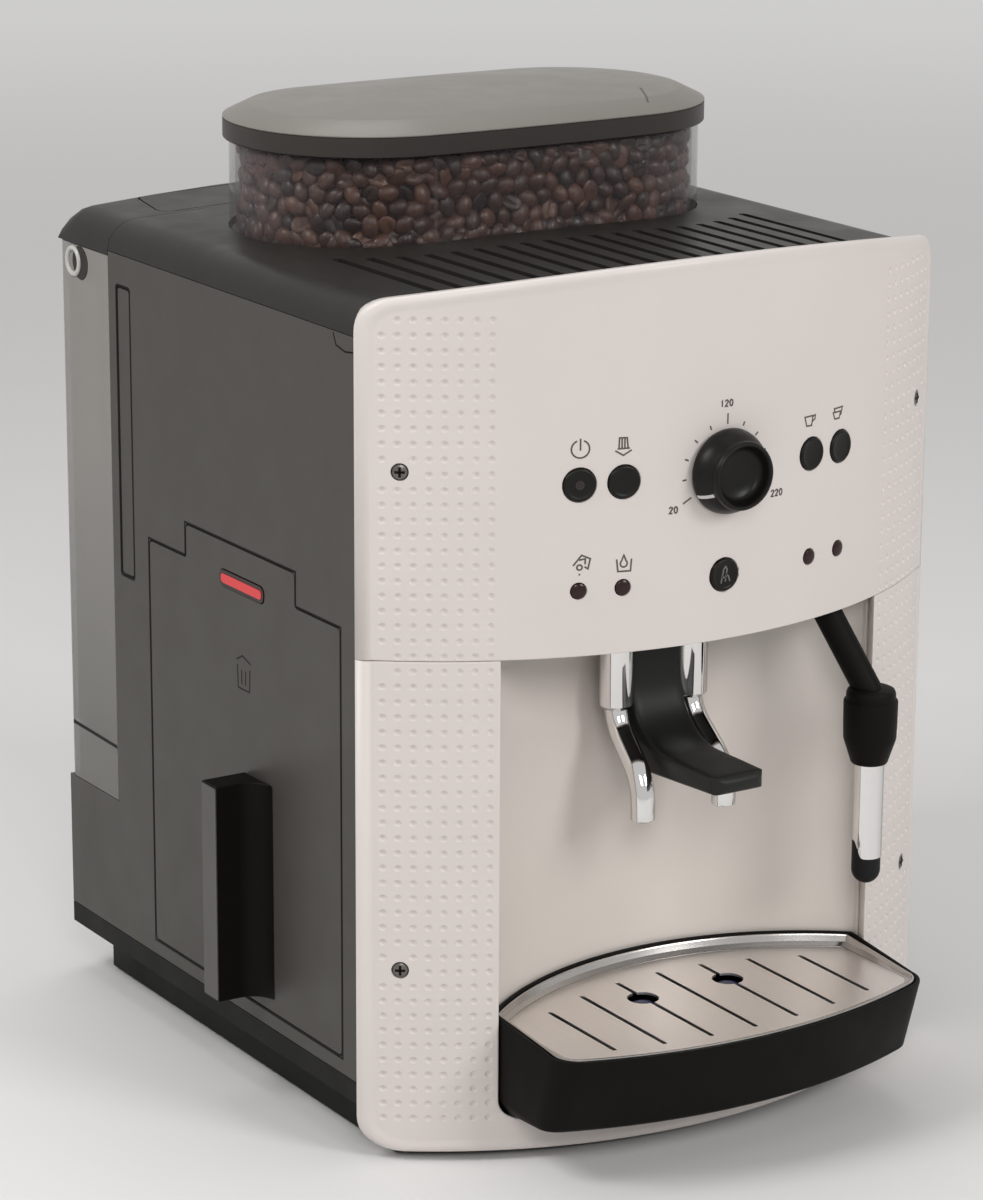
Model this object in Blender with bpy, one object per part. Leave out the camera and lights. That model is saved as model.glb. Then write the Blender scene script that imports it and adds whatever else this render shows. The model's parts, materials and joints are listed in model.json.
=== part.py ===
"""Bean to cup coffee machine, modelled piece by piece.

Metres, +Z up. X runs to the right as seen from the front, and Y runs to the back.
The origin lies on the table, under the middle of the housing. Run with
blender --background --python part.py, or from the text editor.
"""
import math

import bmesh
import bpy
from mathutils import Matrix, Vector

# Gaps and walls that many pieces share
CLEARANCE = 0.0003
SLIDE_GAP = 0.0006
WALL = 0.0025
OVERRUN = 0.004

# Housing
BODY_WIDTH = 0.243
BODY_DEPTH = 0.226
REAR_BOW = 0.010
FOOT_STAND_OUT = 0.0012
PLINTH_HEIGHT = 0.0183
PLINTH_INSET = 0.012
PLINTH_FRONT_GAP = 0.002
SKIRT_HEIGHT = 0.0081
SIDE_HEIGHT = 0.2696
FOOT_RADIUS = 0.011
FOOT_SINK = 0.002
FOOT_EDGE_GAP = 0.008

# Top cover
SHOULDER_WIDTH = 0.012
SHOULDER_HEIGHT = 0.0109
CROWN_HEIGHT = 0.0028
COVER_THICKNESS = 0.003
GROOVE_WIDTH = 0.0036
GROOVE_DEPTH = 0.0014
GROOVE_PITCH = 0.0098
GROOVE_SPAN = 0.180
GROOVE_FRONT_GAP = 0.006
GROOVE_REAR_GAP = 0.020

# White facade: an arched shell on a bowed plan
FACADE_OVERHANG = 0.001
FACADE_BOW = 0.0445
FACADE_THICKNESS = 0.003
FACADE_RETURN = 0.002
FACADE_BOTTOM_Z = 0.0033
FACADE_RISE = 0.0101
PANEL_HEIGHT = 0.1371
FACADE_ARCH_RADIUS = 0.643
FACADE_TOP_CORNER = 0.012
FACADE_BOTTOM_CORNER = 0.013
SCREW_INSET = 0.0118
SCREW_LOW_Z = 0.072
SCREW_HIGH_DROP = 0.0697
SCREW_HEAD_RADIUS = 0.00325
SCREW_HEAD_HEIGHT = 0.0016
SCREW_SINK = 0.001
SCREW_SHANK_RADIUS = 0.0017
SCREW_LENGTH = 0.0075
SCREW_CROSS_WIDTH = 0.0009
SCREW_CROSS_LENGTH = 0.0036
SCREW_CROSS_DEPTH = 0.0008

# Cup niche and the wall behind it
NICHE_WIDTH = 0.161
NICHE_BACK = 0.010
NICHE_FLANGE = 0.00338
NICHE_CORNER = 0.007
NICHE_SILL_Z = 0.0155
NICHE_OVERLAP = 0.0115

# Drip tray
TRAY_REACH = 0.0375
TRAY_FRONT_RADIUS = 0.205
TRAY_CORNER = 0.010
TRAY_HEIGHT = 0.0337
TRAY_BACK_RISE = 0.004
TRAY_WALL = 0.0025
TRAY_TUCK = 0.009
TRAY_CHIN_RISE = 0.0047
PLATE_THICKNESS = 0.0010
PLATE_SINK = 0.0008
PLATE_LEDGE = 0.0016
SLOT_WIDTH = 0.0018
SLOT_PITCH = 0.0184
SLOT_COUNT = 7
SLOT_FRONT_GAP = 0.0120
SLOT_BACK_GAP = 0.0170
FLOAT_RADIUS = 0.0053
FLOAT_HOLE_RADIUS = 0.00585
FLOAT_DISC_RADIUS = 0.009
FLOAT_DISC_HEIGHT = 0.007
FLOAT_SPACING = 0.0374
FLOAT_FORWARD = 0.026

# Coffee outlet
OUTLET_TUBE_RADIUS = 0.0064
OUTLET_TUBE_SPACING = 0.0352
OUTLET_TUBE_FORWARD = 0.0047
OUTLET_TUBE_DROP = 0.033
OUTLET_TUBE_RISE = 0.0205
OUTLET_TUBE_ROUND = 0.0015
NOZZLE_RADIUS = 0.0044
NOZZLE_BORE_RADIUS = 0.0019
NOZZLE_BORE_DEPTH = 0.006
NOZZLE_FORWARD = 0.0177
NOZZLE_TIP_DROP = 0.0694
NOZZLE_BEND_DROP = 0.0555
NOZZLE_BEND_RADIUS = 0.008
BEAK_REACH = 0.0533
BEAK_TOP_DROP = 0.0455
BEAK_BOTTOM_DROP = 0.0555
BEAK_CHIN_RISE = 0.003
BEAK_NOSE_RADIUS = 0.003
BEAK_CORNER = 0.005
BEAK_THROAT = 0.014
STEM_FRONT = 0.0073
STEM_BACK = 0.0087
GUIDE_THICKNESS = 0.0025
GUIDE_LIFT = 0.0035

# Steam wand
WAND_SIDE_GAP = 0.0123
WAND_STAND_OUT = 0.0101
WAND_PIVOT_SIDE_GAP = 0.022
WAND_PIVOT_SINK = 0.00776
WAND_BALL_RADIUS = 0.0062
WAND_ARM_RADIUS = 0.0058
WAND_ARM_DROP = 0.005
WAND_ARM_BEND = 0.0035
WAND_GRIP_TOP_SHARE = 0.7889
WAND_GRIP_FOOT_SHARE = 0.5793
WAND_GRIP_RADIUS = 0.0098
WAND_GRIP_FOOT_RADIUS = 0.0078
WAND_GRIP_STEP = 0.009
WAND_TUBE_RADIUS = 0.0063
WAND_TIP_LENGTH = 0.0135
WAND_TIP_SHARE = 0.237
WAND_SPIGOT_RADIUS = 0.0035
WAND_SPIGOT_SHARE = 0.636
WAND_TIP_SPIGOT_LENGTH = 0.006

# Controls on the upper facade
CONTROL_ROW_DROP = 0.0755
LAMP_ROW_DROP = 0.113
BUTTON_OUTER_X = 0.0554
BUTTON_INNER_X = 0.0398
BUTTON_RADIUS = 0.00585
BUTTON_STAND_OUT = 0.0016
BUTTON_DEPTH = 0.0075
BUTTON_DISH = 0.0006
BUTTON_LIP = 0.0008
LAMP_RADIUS = 0.0027
LAMP_STAND_OUT = 0.0004
LAMP_DEPTH = 0.005
LAMP_COLLAR = 0.0008
KNOB_RADIUS = 0.0155
KNOB_FRONT_RADIUS = 0.0142
KNOB_LENGTH = 0.0155
KNOB_LIFT = 0.0005
KNOB_LIP = 0.0012
KNOB_DISH_RADIUS = 0.0112
KNOB_DISH_DEPTH = 0.003
KNOB_SHAFT_RADIUS = 0.003
KNOB_SHAFT_GRIP = 0.004
BOARD_THICKNESS = 0.0016
BOARD_WIDTH = 0.124
BOARD_GAP = 0.018
BOARD_MARGIN = 0.011
BOARD_POST_RADIUS = 0.0025
BOARD_POST_INSET = 0.003
BOARD_POST_SPACING = 0.095
ENCODER_RADIUS = 0.008
ENCODER_LENGTH = 0.008

# Bean hopper and its lid
HOPPER_BACK_GAP = 0.006
HOPPER_LENGTH = 0.1872
HOPPER_WIDTH = 0.104
HOPPER_SIDE_RADIUS = 0.930
HOPPER_END_RADIUS = 0.0490
HOPPER_HEIGHT = 0.0309
HOPPER_WALL = 0.0022
HOPPER_DROP = 0.0085
HOPPER_THROAT_RADIUS = 0.0245
THROAT_DROP = 0.0395
LID_OVERHANG = 0.0022
LID_RIM_HEIGHT = 0.008
LID_BEVEL_WIDTH = 0.0095
LID_BEVEL_HEIGHT = 0.0045
LID_DOME = 0.0025
LID_SKIN = 0.002
LID_EASE = 0.0008
LID_FLAT_SHARE = 0.8

# Grinder under the hopper
DIAL_RADIUS = 0.0238
DIAL_BORE = 0.0165
DIAL_RISE = 0.014
DIAL_RIBS = 8
DIAL_RIB_DEPTH = 0.0012
RING_DEPTH = 0.022
BURR_RADIUS = 0.0142
BURR_TOP_RADIUS = 0.0055
BURR_HEIGHT = 0.016
BURR_FLUTES = 8
BURR_FLUTE_DEPTH = 0.0016
BURR_TWIST = 40.0
GRINDER_RADIUS = 0.042
GRINDER_HEIGHT = 0.046
MOTOR_RADIUS = 0.034
MOTOR_NECK_SHARE = 0.6
ROTOR_SHAFT_RADIUS = 0.004
ROTOR_SHAFT_GRIP = 0.020

# Water tank at the back
TANK_DEPTH = 0.0415
TANK_FOOT_Z = 0.0816
TANK_WALL = 0.0022
TANK_RIM_DROP = 0.0019
TANK_FLOOR_RISE = 0.0229
TANK_CORNER = 0.006
PIN_BACK_SHARE = 0.554
PIN_DROP = 0.0065
PIN_RADIUS = 0.0062
EAR_WIDTH = 0.017
EAR_THICKNESS = 0.002
EAR_RISE_SHARE = 0.52
CAP_REAR_ROUND = 0.011
FLAP_WIDTH = 0.194
FLAP_FRONT_GAP = 0.003
FLAP_DEPTH = 0.033
FLAP_CORNER = 0.005
FLAP_TAPER = 0.007
VALVE_RADIUS = 0.010
VALVE_HEIGHT = 0.013
VALVE_SHARE = 0.45
VALVE_NIPPLE_RADIUS = 0.0045

# Grounds drawer in the left side
DRAWER_FRONT = 0.013
DRAWER_BACK_GAP = 0.0292
DRAWER_BOTTOM_Z = 0.034
DRAWER_TOP_RISE = 0.003
DRAWER_STEP_RISE = 0.0126
DRAWER_STEP_FRONT = 0.0445
DRAWER_STEP_BACK_GAP = 0.029
DRAWER_CORNER = 0.0015
DOOR_THICKNESS = 0.003
DOOR_GAP = 0.0005
BIN_REACH = 0.1095
BIN_MARGIN = 0.007
BIN_WALL = 0.0018
BIN_TOP_DROP = 0.007
BIN_CORNER = 0.008
HANDLE_STAND_OUT = 0.0185
HANDLE_FRONT = 0.071
HANDLE_BACK = 0.082
HANDLE_FLARE = 0.009
HANDLE_BOTTOM_Z = 0.0392
HANDLE_TOP_Z = 0.1218
WINDOW_START_SHARE = 0.276
WINDOW_END_SHARE = 0.676
WINDOW_DROP = 0.0014
WINDOW_HEIGHT = 0.0062
WINDOW_STAND_OUT = 0.0005

# Grip slot in each side panel
GRIP_BACK_GAP = 0.006
GRIP_WIDTH = 0.011
GRIP_HEIGHT = 0.112
GRIP_TOP_GAP = 0.0115
GRIP_SINK = 0.0012
GRIP_CORNER = 0.002

# Inner frame and what stands in it
FRAME_THICKNESS = 0.0025
FRAME_X = -0.0055
FRAME_FRONT = 0.016
DECK_RISE = 0.0055
RAIL_WIDTH = 0.006
BREW_X = 0.036
BREW_BACK = 0.070
BREW_RADIUS = 0.030
BREW_BORE_RADIUS = 0.0225
BREW_HEIGHT_SHARE = 0.7403
BREW_BORE_SHARE = 0.7333
PISTON_SHARE = 0.25
PISTON_ROD_RADIUS = 0.006
PISTON_SINK_SHARE = 0.4
PISTON_HEAD_SHARE = 0.5
PISTON_ROD_RISE_SHARE = 0.25
HEATER_WIDTH = 0.034
HEATER_BACK_GAP = 0.002
HEATER_HEIGHT = 0.052
HEATER_SIDE_GAP = 0.006
HEATER_FRONT = 0.030
HEATER_FINS = 7
HEATER_FIN_DEPTH = 0.006
FIN_START_SHARE = 0.35
FIN_END_SHARE = 0.65
PUMP_RADIUS = 0.017
PUMP_LENGTH = 0.050
PUMP_BACK_GAP = 0.0017
PUMP_NECK_RADIUS = 0.007
PUMP_NECK_LENGTH = 0.010
PUMP_SADDLE_WIDTH = 0.022
PUMP_SADDLE_LENGTH = 0.030
PUMP_LIFT = 0.003
INLET_X = 0.070
INLET_Z = 0.052
INLET_RADIUS = 0.0068
INLET_FLANGE_RADIUS = 0.010
INLET_FLANGE = 0.002
INLET_BORE_RADIUS = 0.0037

# Facets
ARC_STEPS = 20
CORNER_STEPS = 4
ROUND_STEPS = 24
SMALL_ROUND_STEPS = 16
END_STEPS = 8
FEW_STEPS = 6
DOME_STEPS = 3
FLUTE_STEPS = 4
TWIST_STEPS = 5
SMOOTH_ANGLE = 35
BALL_ANGLES = (-75, -50, -25, 0, 25, 50, 75)


def bow_radius(half_width, bow):
    """Radius of an arc with this half chord and this height."""
    return (half_width ** 2 + bow ** 2) / (2 * bow)


# Places worked out from the sizes above
FRONT_Y = -BODY_DEPTH / 2
REAR_Y = BODY_DEPTH / 2
SIDE_X = BODY_WIDTH / 2
PLINTH_Z = FOOT_STAND_OUT
SKIRT_Z = PLINTH_Z + PLINTH_HEIGHT
FLOOR_Z = SKIRT_Z + SKIRT_HEIGHT
SIDE_Z = FLOOR_Z + CLEARANCE
SIDE_TOP_Z = SIDE_Z + SIDE_HEIGHT
COVER_Z = SIDE_TOP_Z + CLEARANCE
SHOULDER_Z = COVER_Z + SHOULDER_HEIGHT
COVER_PEAK_Z = SHOULDER_Z + CROWN_HEIGHT
CROWN_RADIUS = bow_radius(SIDE_X - SHOULDER_WIDTH, CROWN_HEIGHT)
REAR_RADIUS = bow_radius(SIDE_X, REAR_BOW)
FACADE_HALF = SIDE_X + FACADE_OVERHANG
FACADE_RADIUS = bow_radius(FACADE_HALF, FACADE_BOW)
FACADE_CENTRE_Y = FRONT_Y - FACADE_BOW + FACADE_RADIUS
FACADE_PEAK_Z = COVER_PEAK_Z + FACADE_RISE
FACADE_SEAM_Z = FACADE_PEAK_Z - PANEL_HEIGHT
SCREW_HIGH_Z = FACADE_PEAK_Z - SCREW_HIGH_DROP
CONTROL_ROW_Z = FACADE_PEAK_Z - CONTROL_ROW_DROP
LAMP_ROW_Z = FACADE_PEAK_Z - LAMP_ROW_DROP
PANEL_EDGE_Z = FACADE_SEAM_Z + SLIDE_GAP
PANEL_FRONT_Y = FRONT_Y + FACADE_RETURN + CLEARANCE
TANK_FRONT_Y = REAR_Y - TANK_DEPTH
HOUSING_BACK_Y = TANK_FRONT_Y - CLEARANCE
SHELF_Z = TANK_FOOT_Z - CLEARANCE
TANK_RIM_Z = SIDE_TOP_Z - TANK_RIM_DROP
NICHE_HALF = NICHE_WIDTH / 2
TRAY_HALF = NICHE_HALF - SLIDE_GAP
TRAY_FRONT_Y = FRONT_Y - FACADE_BOW - TRAY_REACH
TRAY_Z = NICHE_SILL_Z + CLEARANCE
TRAY_RIM_Z = TRAY_Z + TRAY_HEIGHT
TRAY_FLOOR_Z = TRAY_Z + TRAY_WALL
PLATE_Z = TRAY_RIM_Z - PLATE_SINK - PLATE_THICKNESS
GUIDE_Z = PANEL_EDGE_Z + GUIDE_LIFT
OUTLET_Y = FRONT_Y - OUTLET_TUBE_FORWARD
OUTLET_TUBE_BOTTOM_Z = FACADE_SEAM_Z - OUTLET_TUBE_DROP
OUTLET_TUBE_TOP_Z = FACADE_SEAM_Z + OUTLET_TUBE_RISE
NOZZLE_TIP_Z = FACADE_SEAM_Z - NOZZLE_TIP_DROP
NOZZLE_BEND_Z = FACADE_SEAM_Z - NOZZLE_BEND_DROP
BEAK_TOP_Z = FACADE_SEAM_Z - BEAK_TOP_DROP
BEAK_BOTTOM_Z = FACADE_SEAM_Z - BEAK_BOTTOM_DROP
WAND_X = NICHE_HALF - WAND_SIDE_GAP
WAND_PIVOT_X = NICHE_HALF - WAND_PIVOT_SIDE_GAP
WAND_ROOM = FACADE_SEAM_Z - TRAY_RIM_Z
WAND_GRIP_TOP_Z = TRAY_RIM_Z + WAND_ROOM * WAND_GRIP_TOP_SHARE
WAND_GRIP_FOOT_Z = TRAY_RIM_Z + WAND_ROOM * WAND_GRIP_FOOT_SHARE
WAND_TIP_Z = TRAY_RIM_Z + WAND_ROOM * WAND_TIP_SHARE
WAND_PIVOT_Z = GUIDE_Z + GUIDE_THICKNESS / 2
BOARD_Y = FRONT_Y - FACADE_BOW + FACADE_THICKNESS + BOARD_GAP
HOPPER_Y = HOUSING_BACK_Y - HOPPER_BACK_GAP - HOPPER_WIDTH / 2
HOPPER_TOP_Z = COVER_PEAK_Z + HOPPER_HEIGHT
THROAT_Z = COVER_PEAK_Z - THROAT_DROP
GRINDER_TOP_Z = THROAT_Z - CLEARANCE
GRINDER_Z = GRINDER_TOP_Z - GRINDER_HEIGHT
DECK_Z = FACADE_SEAM_Z + DECK_RISE
NICHE_TOP_Z = FACADE_SEAM_Z + NICHE_OVERLAP
MOTOR_Z = DECK_Z + FRAME_THICKNESS + CLEARANCE
RING_Z = GRINDER_TOP_Z - RING_DEPTH
DRAWER_X = -SIDE_X + DOOR_THICKNESS + CLEARANCE
DRAWER_BACK = HOUSING_BACK_Y - FRONT_Y - DRAWER_BACK_GAP
DRAWER_TOP_Z = DECK_Z + DRAWER_TOP_RISE
WINDOW_Z = DRAWER_TOP_Z - WINDOW_DROP
BIN_Z = DRAWER_BOTTOM_Z + DOOR_GAP + CLEARANCE
BREW_HEIGHT = (DECK_Z - SIDE_Z) * BREW_HEIGHT_SHARE
BREW_TOP_Z = SIDE_Z + BREW_HEIGHT
PUMP_Y = HOUSING_BACK_Y - WALL - PUMP_BACK_GAP - PUMP_NECK_LENGTH - PUMP_LENGTH / 2


def facade_y(x, inset=0):
    """Y of the bowed facade at x, or of the surface that lies inset behind it."""
    return FACADE_CENTRE_Y - math.sqrt((FACADE_RADIUS - inset) ** 2 - x ** 2)


WAND_Y = facade_y(WAND_X) - WAND_STAND_OUT
WAND_PIVOT_Y = facade_y(WAND_PIVOT_X, FACADE_THICKNESS) + WAND_PIVOT_SINK
NICHE_SIDE_Y = facade_y(NICHE_HALF, FACADE_THICKNESS) + NICHE_FLANGE
NICHE_RADIUS = bow_radius(NICHE_HALF, FRONT_Y + NICHE_BACK - NICHE_SIDE_Y)


def rear_y(x, inset=0):
    """Y of the bowed back at x, or of the surface that lies inset in front of it."""
    centre = REAR_Y + REAR_BOW - REAR_RADIUS
    return centre + math.sqrt((REAR_RADIUS - inset) ** 2 - x ** 2)


def niche_y(x, inset=0):
    """Y of the niche's hollow back wall at x, or inset in front of it."""
    centre = FRONT_Y + NICHE_BACK - NICHE_RADIUS
    return centre + math.sqrt((NICHE_RADIUS - inset) ** 2 - x ** 2)


def cover_z(x, inset=0):
    """Height of the crowned top at x, or inset below it."""
    return COVER_PEAK_Z - CROWN_RADIUS + math.sqrt((CROWN_RADIUS - inset) ** 2 - x ** 2)


# Scene, materials and joints


def clear_scene():
    for thing in list(bpy.data.objects):
        bpy.data.objects.remove(thing, do_unlink=True)


def material(name, colour, roughness, metallic=0.0, alpha=1.0):
    made = bpy.data.materials.new(name)
    made.use_nodes = True
    shader = made.node_tree.nodes["Principled BSDF"]
    shader.inputs["Base Color"].default_value = (*colour, 1.0)
    shader.inputs["Roughness"].default_value = roughness
    shader.inputs["Metallic"].default_value = metallic
    shader.inputs["Alpha"].default_value = alpha
    return made


def make_materials():
    return {
        "white": material("white_shell", (0.80, 0.77, 0.74), 0.35),
        "liner": material("niche_white", (0.74, 0.71, 0.68), 0.25),
        "grey": material("dark_grey_shell", (0.085, 0.080, 0.074), 0.45),
        "black": material("black_plastic", (0.012, 0.012, 0.012), 0.35),
        "base": material("base_black", (0.016, 0.015, 0.014), 0.55),
        "rubber": material("rubber", (0.02, 0.02, 0.02), 0.85),
        "steel": material("brushed_steel", (0.62, 0.60, 0.58), 0.30, 1.0),
        "chrome": material("chrome", (0.83, 0.82, 0.81), 0.06, 1.0),
        "silver": material("silver_grey_lid", (0.24, 0.23, 0.22), 0.38),
        "clear": material("clear_hopper", (0.80, 0.79, 0.80), 0.08, 0.0, 0.3),
        "tank": material("smoked_tank", (0.42, 0.41, 0.40), 0.15, 0.0, 0.45),
        "red": material("red_window", (0.80, 0.05, 0.05), 0.20),
        "lamp": material("dark_red_lamp", (0.08, 0.012, 0.012), 0.20),
        "blue": material("blue_float", (0.02, 0.05, 0.20), 0.35),
        "metal": material("grey_metal", (0.40, 0.40, 0.41), 0.40, 1.0),
        "board": material("circuit_board", (0.03, 0.16, 0.07), 0.50),
    }


def joint(name, place, *pieces):
    """An empty on the joint's axis that carries the pieces that move with it."""
    empty = bpy.data.objects.new(name, None)
    bpy.context.collection.objects.link(empty)
    empty.location = place
    for piece in pieces:
        piece.parent = empty
        piece.matrix_parent_inverse = Matrix.Translation(place).inverted()
    return empty


# Solids


def solid(name, vertices, faces, finish=None):
    """An object from points and faces, its normals outwards, shaded by angle."""
    shape = bmesh.new()
    points = [shape.verts.new(v) for v in vertices]
    for face in faces:
        shape.faces.new([points[i] for i in face])
    bmesh.ops.remove_doubles(shape, verts=shape.verts, dist=CLEARANCE / 100)
    bmesh.ops.recalc_face_normals(shape, faces=shape.faces)
    mesh = bpy.data.meshes.new(name)
    shape.to_mesh(mesh)
    shape.free()
    mesh.shade_smooth()
    mesh.set_sharp_from_angle(angle=math.radians(SMOOTH_ANGLE))
    made = bpy.data.objects.new(name, mesh)
    bpy.context.collection.objects.link(made)
    if finish:
        mesh.materials.append(finish)
    return made


def loft(name, rings, finish=None, closed=False):
    """Walls through rings of equally many points, capped, or closed back on themselves."""
    count = len(rings[0])
    vertices = [point for ring in rings for point in ring]
    faces = []
    spans = len(rings) if closed else len(rings) - 1
    for r in range(spans):
        low, high = r * count, (r + 1) % len(rings) * count
        for i in range(count):
            j = (i + 1) % count
            faces.append((low + i, low + j, high + j, high + i))
    if not closed:
        faces.append(tuple(range(count))[::-1])
        faces.append(tuple(range(len(vertices) - count, len(vertices))))
    return solid(name, vertices, faces, finish)


def prism(name, outline, low, high, axis="z", finish=None):
    """A flat outline drawn out along one axis. Outlines are (x, y), (x, z) or (y, z)."""
    def at(u, v, w):
        return {"z": (u, v, w), "y": (u, w, v), "x": (w, u, v)}[axis]
    rings = [[at(u, v, w) for u, v in outline] for w in (low, high)]
    return loft(name, rings, finish)


def box(name, low, high, finish=None):
    outline = [(low[0], low[1]), (high[0], low[1]), (high[0], high[1]), (low[0], high[1])]
    return prism(name, outline, low[2], high[2], "z", finish)


def turned(name, profile, place, steps=ROUND_STEPS, finish=None, closed=False):
    """A profile of (radius, height) turned about the local Z of a matrix."""
    rings = []
    for radius, height in profile:
        ring = []
        for i in range(steps):
            angle = 2 * math.pi * i / steps
            ring.append(place @ Vector((radius * math.cos(angle), radius * math.sin(angle), height)))
        rings.append(ring)
    return loft(name, rings, finish, closed)


def rod(name, radius, low, high, place, steps=ROUND_STEPS, finish=None):
    return turned(name, [(radius, low), (radius, high)], place, steps, finish)


def sweep(name, path, radii, steps=SMALL_ROUND_STEPS, finish=None):
    """A round tube along 3-D points, its section carried along without twist."""
    points = [Vector(p) for p in path]
    tangents = []
    for i in range(len(points)):
        before = points[max(i - 1, 0)]
        after = points[min(i + 1, len(points) - 1)]
        tangents.append((after - before).normalized())
    side = tangents[0].orthogonal().normalized()
    rings = []
    for point, tangent, radius in zip(points, tangents, radii):
        side = (side - tangent * side.dot(tangent)).normalized()
        up = tangent.cross(side)
        ring = []
        for i in range(steps):
            angle = 2 * math.pi * i / steps
            ring.append(point + radius * (math.cos(angle) * side + math.sin(angle) * up))
        rings.append(ring)
    return loft(name, rings, finish)


def boolean(target, tool, operation):
    tool.hide_render = True
    tool.display_type = "WIRE"
    tool.parent = target
    step = target.modifiers.new(tool.name, "BOOLEAN")
    step.operation = operation
    step.solver = "EXACT"
    step.object = tool
    return target


def cut(target, *tools):
    """Takes away tools that don't touch each other, in one step."""
    return boolean(target, together(target.name + "_cutter", tools), "DIFFERENCE")


def add(target, tool):
    return boolean(target, tool, "UNION")


def keep_common(target, tool):
    return boolean(target, tool, "INTERSECT")


def together(name, tools):
    """One object with the meshes of several tools that stay apart."""
    shape = bmesh.new()
    for tool in tools:
        shape.from_mesh(tool.data)
        bpy.data.objects.remove(tool, do_unlink=True)
    mesh = bpy.data.meshes.new(name)
    shape.to_mesh(mesh)
    shape.free()
    made = bpy.data.objects.new(name, mesh)
    bpy.context.collection.objects.link(made)
    return made


# Outlines


def arc(centre, radius, start, end, steps):
    """Points on a circle from start to end degrees, both ends kept."""
    points = []
    for i in range(steps + 1):
        angle = math.radians(start + (end - start) * i / steps)
        points.append((centre[0] + radius * math.cos(angle),
                       centre[1] + radius * math.sin(angle)))
    return points


def bowed_edge(half, peak, radius, corner, sign, steps=CORNER_STEPS, bow_steps=ARC_STEPS):
    """A bowed edge with rounded corners, between side lines at -half and half.

    sign is 1 where it bows up the second axis, right to left, and -1 where it bows
    down, left to right, so that both run anticlockwise.
    """
    side = half - corner
    rise = math.sqrt((radius - corner) ** 2 - side ** 2)
    tangent = math.degrees(math.atan2(rise, side))
    upper = arc((side, rise), corner, 0, tangent, steps)
    upper += arc((0, 0), radius, tangent, 180 - tangent, bow_steps)[1:-1]
    upper += arc((-side, rise), corner, 180 - tangent, 180, steps)
    base = peak - sign * radius
    points = [(u, base + sign * v) for u, v in upper]
    return points if sign > 0 else points[::-1]


def curve_between(curve, start, end, steps=ARC_STEPS):
    """Points of y = curve(x) from start to end."""
    return [(x, curve(x)) for x in (start + (end - start) * i / steps for i in range(steps + 1))]


def rounded_box(low_u, low_v, high_u, high_v, corner, steps=CORNER_STEPS):
    points = []
    for centre, start in (((high_u - corner, high_v - corner), 0),
                          ((low_u + corner, high_v - corner), 90),
                          ((low_u + corner, low_v + corner), 180),
                          ((high_u - corner, low_v + corner), 270)):
        points += arc(centre, corner, start, start + 90, steps)
    return points


def round_corners(points, radius, steps=CORNER_STEPS):
    """A closed outline with each corner replaced by an arc, hollow corners too."""
    rounded = []
    count = len(points)
    for i in range(count):
        here = Vector(points[i])
        before = (Vector(points[i - 1]) - here).normalized()
        after = (Vector(points[(i + 1) % count]) - here).normalized()
        half_turn = before.angle(after) / 2
        reach = radius / math.tan(half_turn)
        centre = here + (before + after).normalized() * radius / math.sin(half_turn)
        start = here + before * reach - centre
        turn = before.angle_signed(after)
        swing = math.copysign(math.pi - abs(turn), turn)
        for k in range(steps + 1):
            angle = swing * k / steps
            rounded.append(tuple(centre + Matrix.Rotation(angle, 2) @ start))
    return rounded


def rounded_path(points, radius, steps=CORNER_STEPS):
    """An open 3-D path whose inner corners are rounded off by quadratic arcs."""
    corners = [Vector(p) for p in points]
    path = [corners[0]]
    for before, here, after in zip(corners, corners[1:], corners[2:]):
        start = here + (before - here).normalized() * radius
        end = here + (after - here).normalized() * radius
        for k in range(steps + 1):
            t = k / steps
            path.append(start.lerp(here, t).lerp(here.lerp(end, t), t))
    path.append(corners[-1])
    return path


# Places


def at(x, y, z):
    return Matrix.Translation((x, y, z))


def on_facade(x, z):
    """A frame on the facade's outer face, its Z straight out of the face."""
    lean = math.asin(x / FACADE_RADIUS)
    turn = Matrix(((math.cos(lean), 0, math.sin(lean)),
                   (math.sin(lean), 0, -math.cos(lean)),
                   (0, 1, 0))).to_4x4()
    return at(x, facade_y(x), z) @ turn


def on_rear(x, z):
    """A frame on the bowed back, its Z straight out of it."""
    lean = math.asin(x / REAR_RADIUS)
    turn = Matrix(((-math.cos(lean), 0, math.sin(lean)),
                   (math.sin(lean), 0, math.cos(lean)),
                   (0, 1, 0))).to_4x4()
    return at(x, rear_y(x), z) @ turn


def along_x(x, y, z):
    return at(x, y, z) @ Matrix.Rotation(math.radians(90), 4, "Y")


def along_y(x, y, z):
    """Local Z points forwards, along -Y."""
    return at(x, y, z) @ Matrix.Rotation(math.radians(90), 4, "X")


# Base


def behind_facade(gap):
    """Front edge of what stands right behind the facade, left to right."""
    shoulder = FACADE_HALF - FACADE_THICKNESS - gap
    middle = curve_between(lambda x: facade_y(x, FACADE_THICKNESS + gap), -shoulder, shoulder)
    left = [(-SIDE_X, PANEL_FRONT_Y), (-shoulder, PANEL_FRONT_Y)]
    right = [(shoulder, PANEL_FRONT_Y), (SIDE_X, PANEL_FRONT_Y)]
    return left + middle + right


def niche_bay(gap):
    """Plan of the niche with its wall, from in front of the facade to behind the wall."""
    half = NICHE_HALF + WALL + gap
    front = FRONT_Y - FACADE_BOW
    return [(-half, front), (half, front)] + curve_between(
        lambda x: niche_y(x, -WALL - gap), half, -half)


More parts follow.
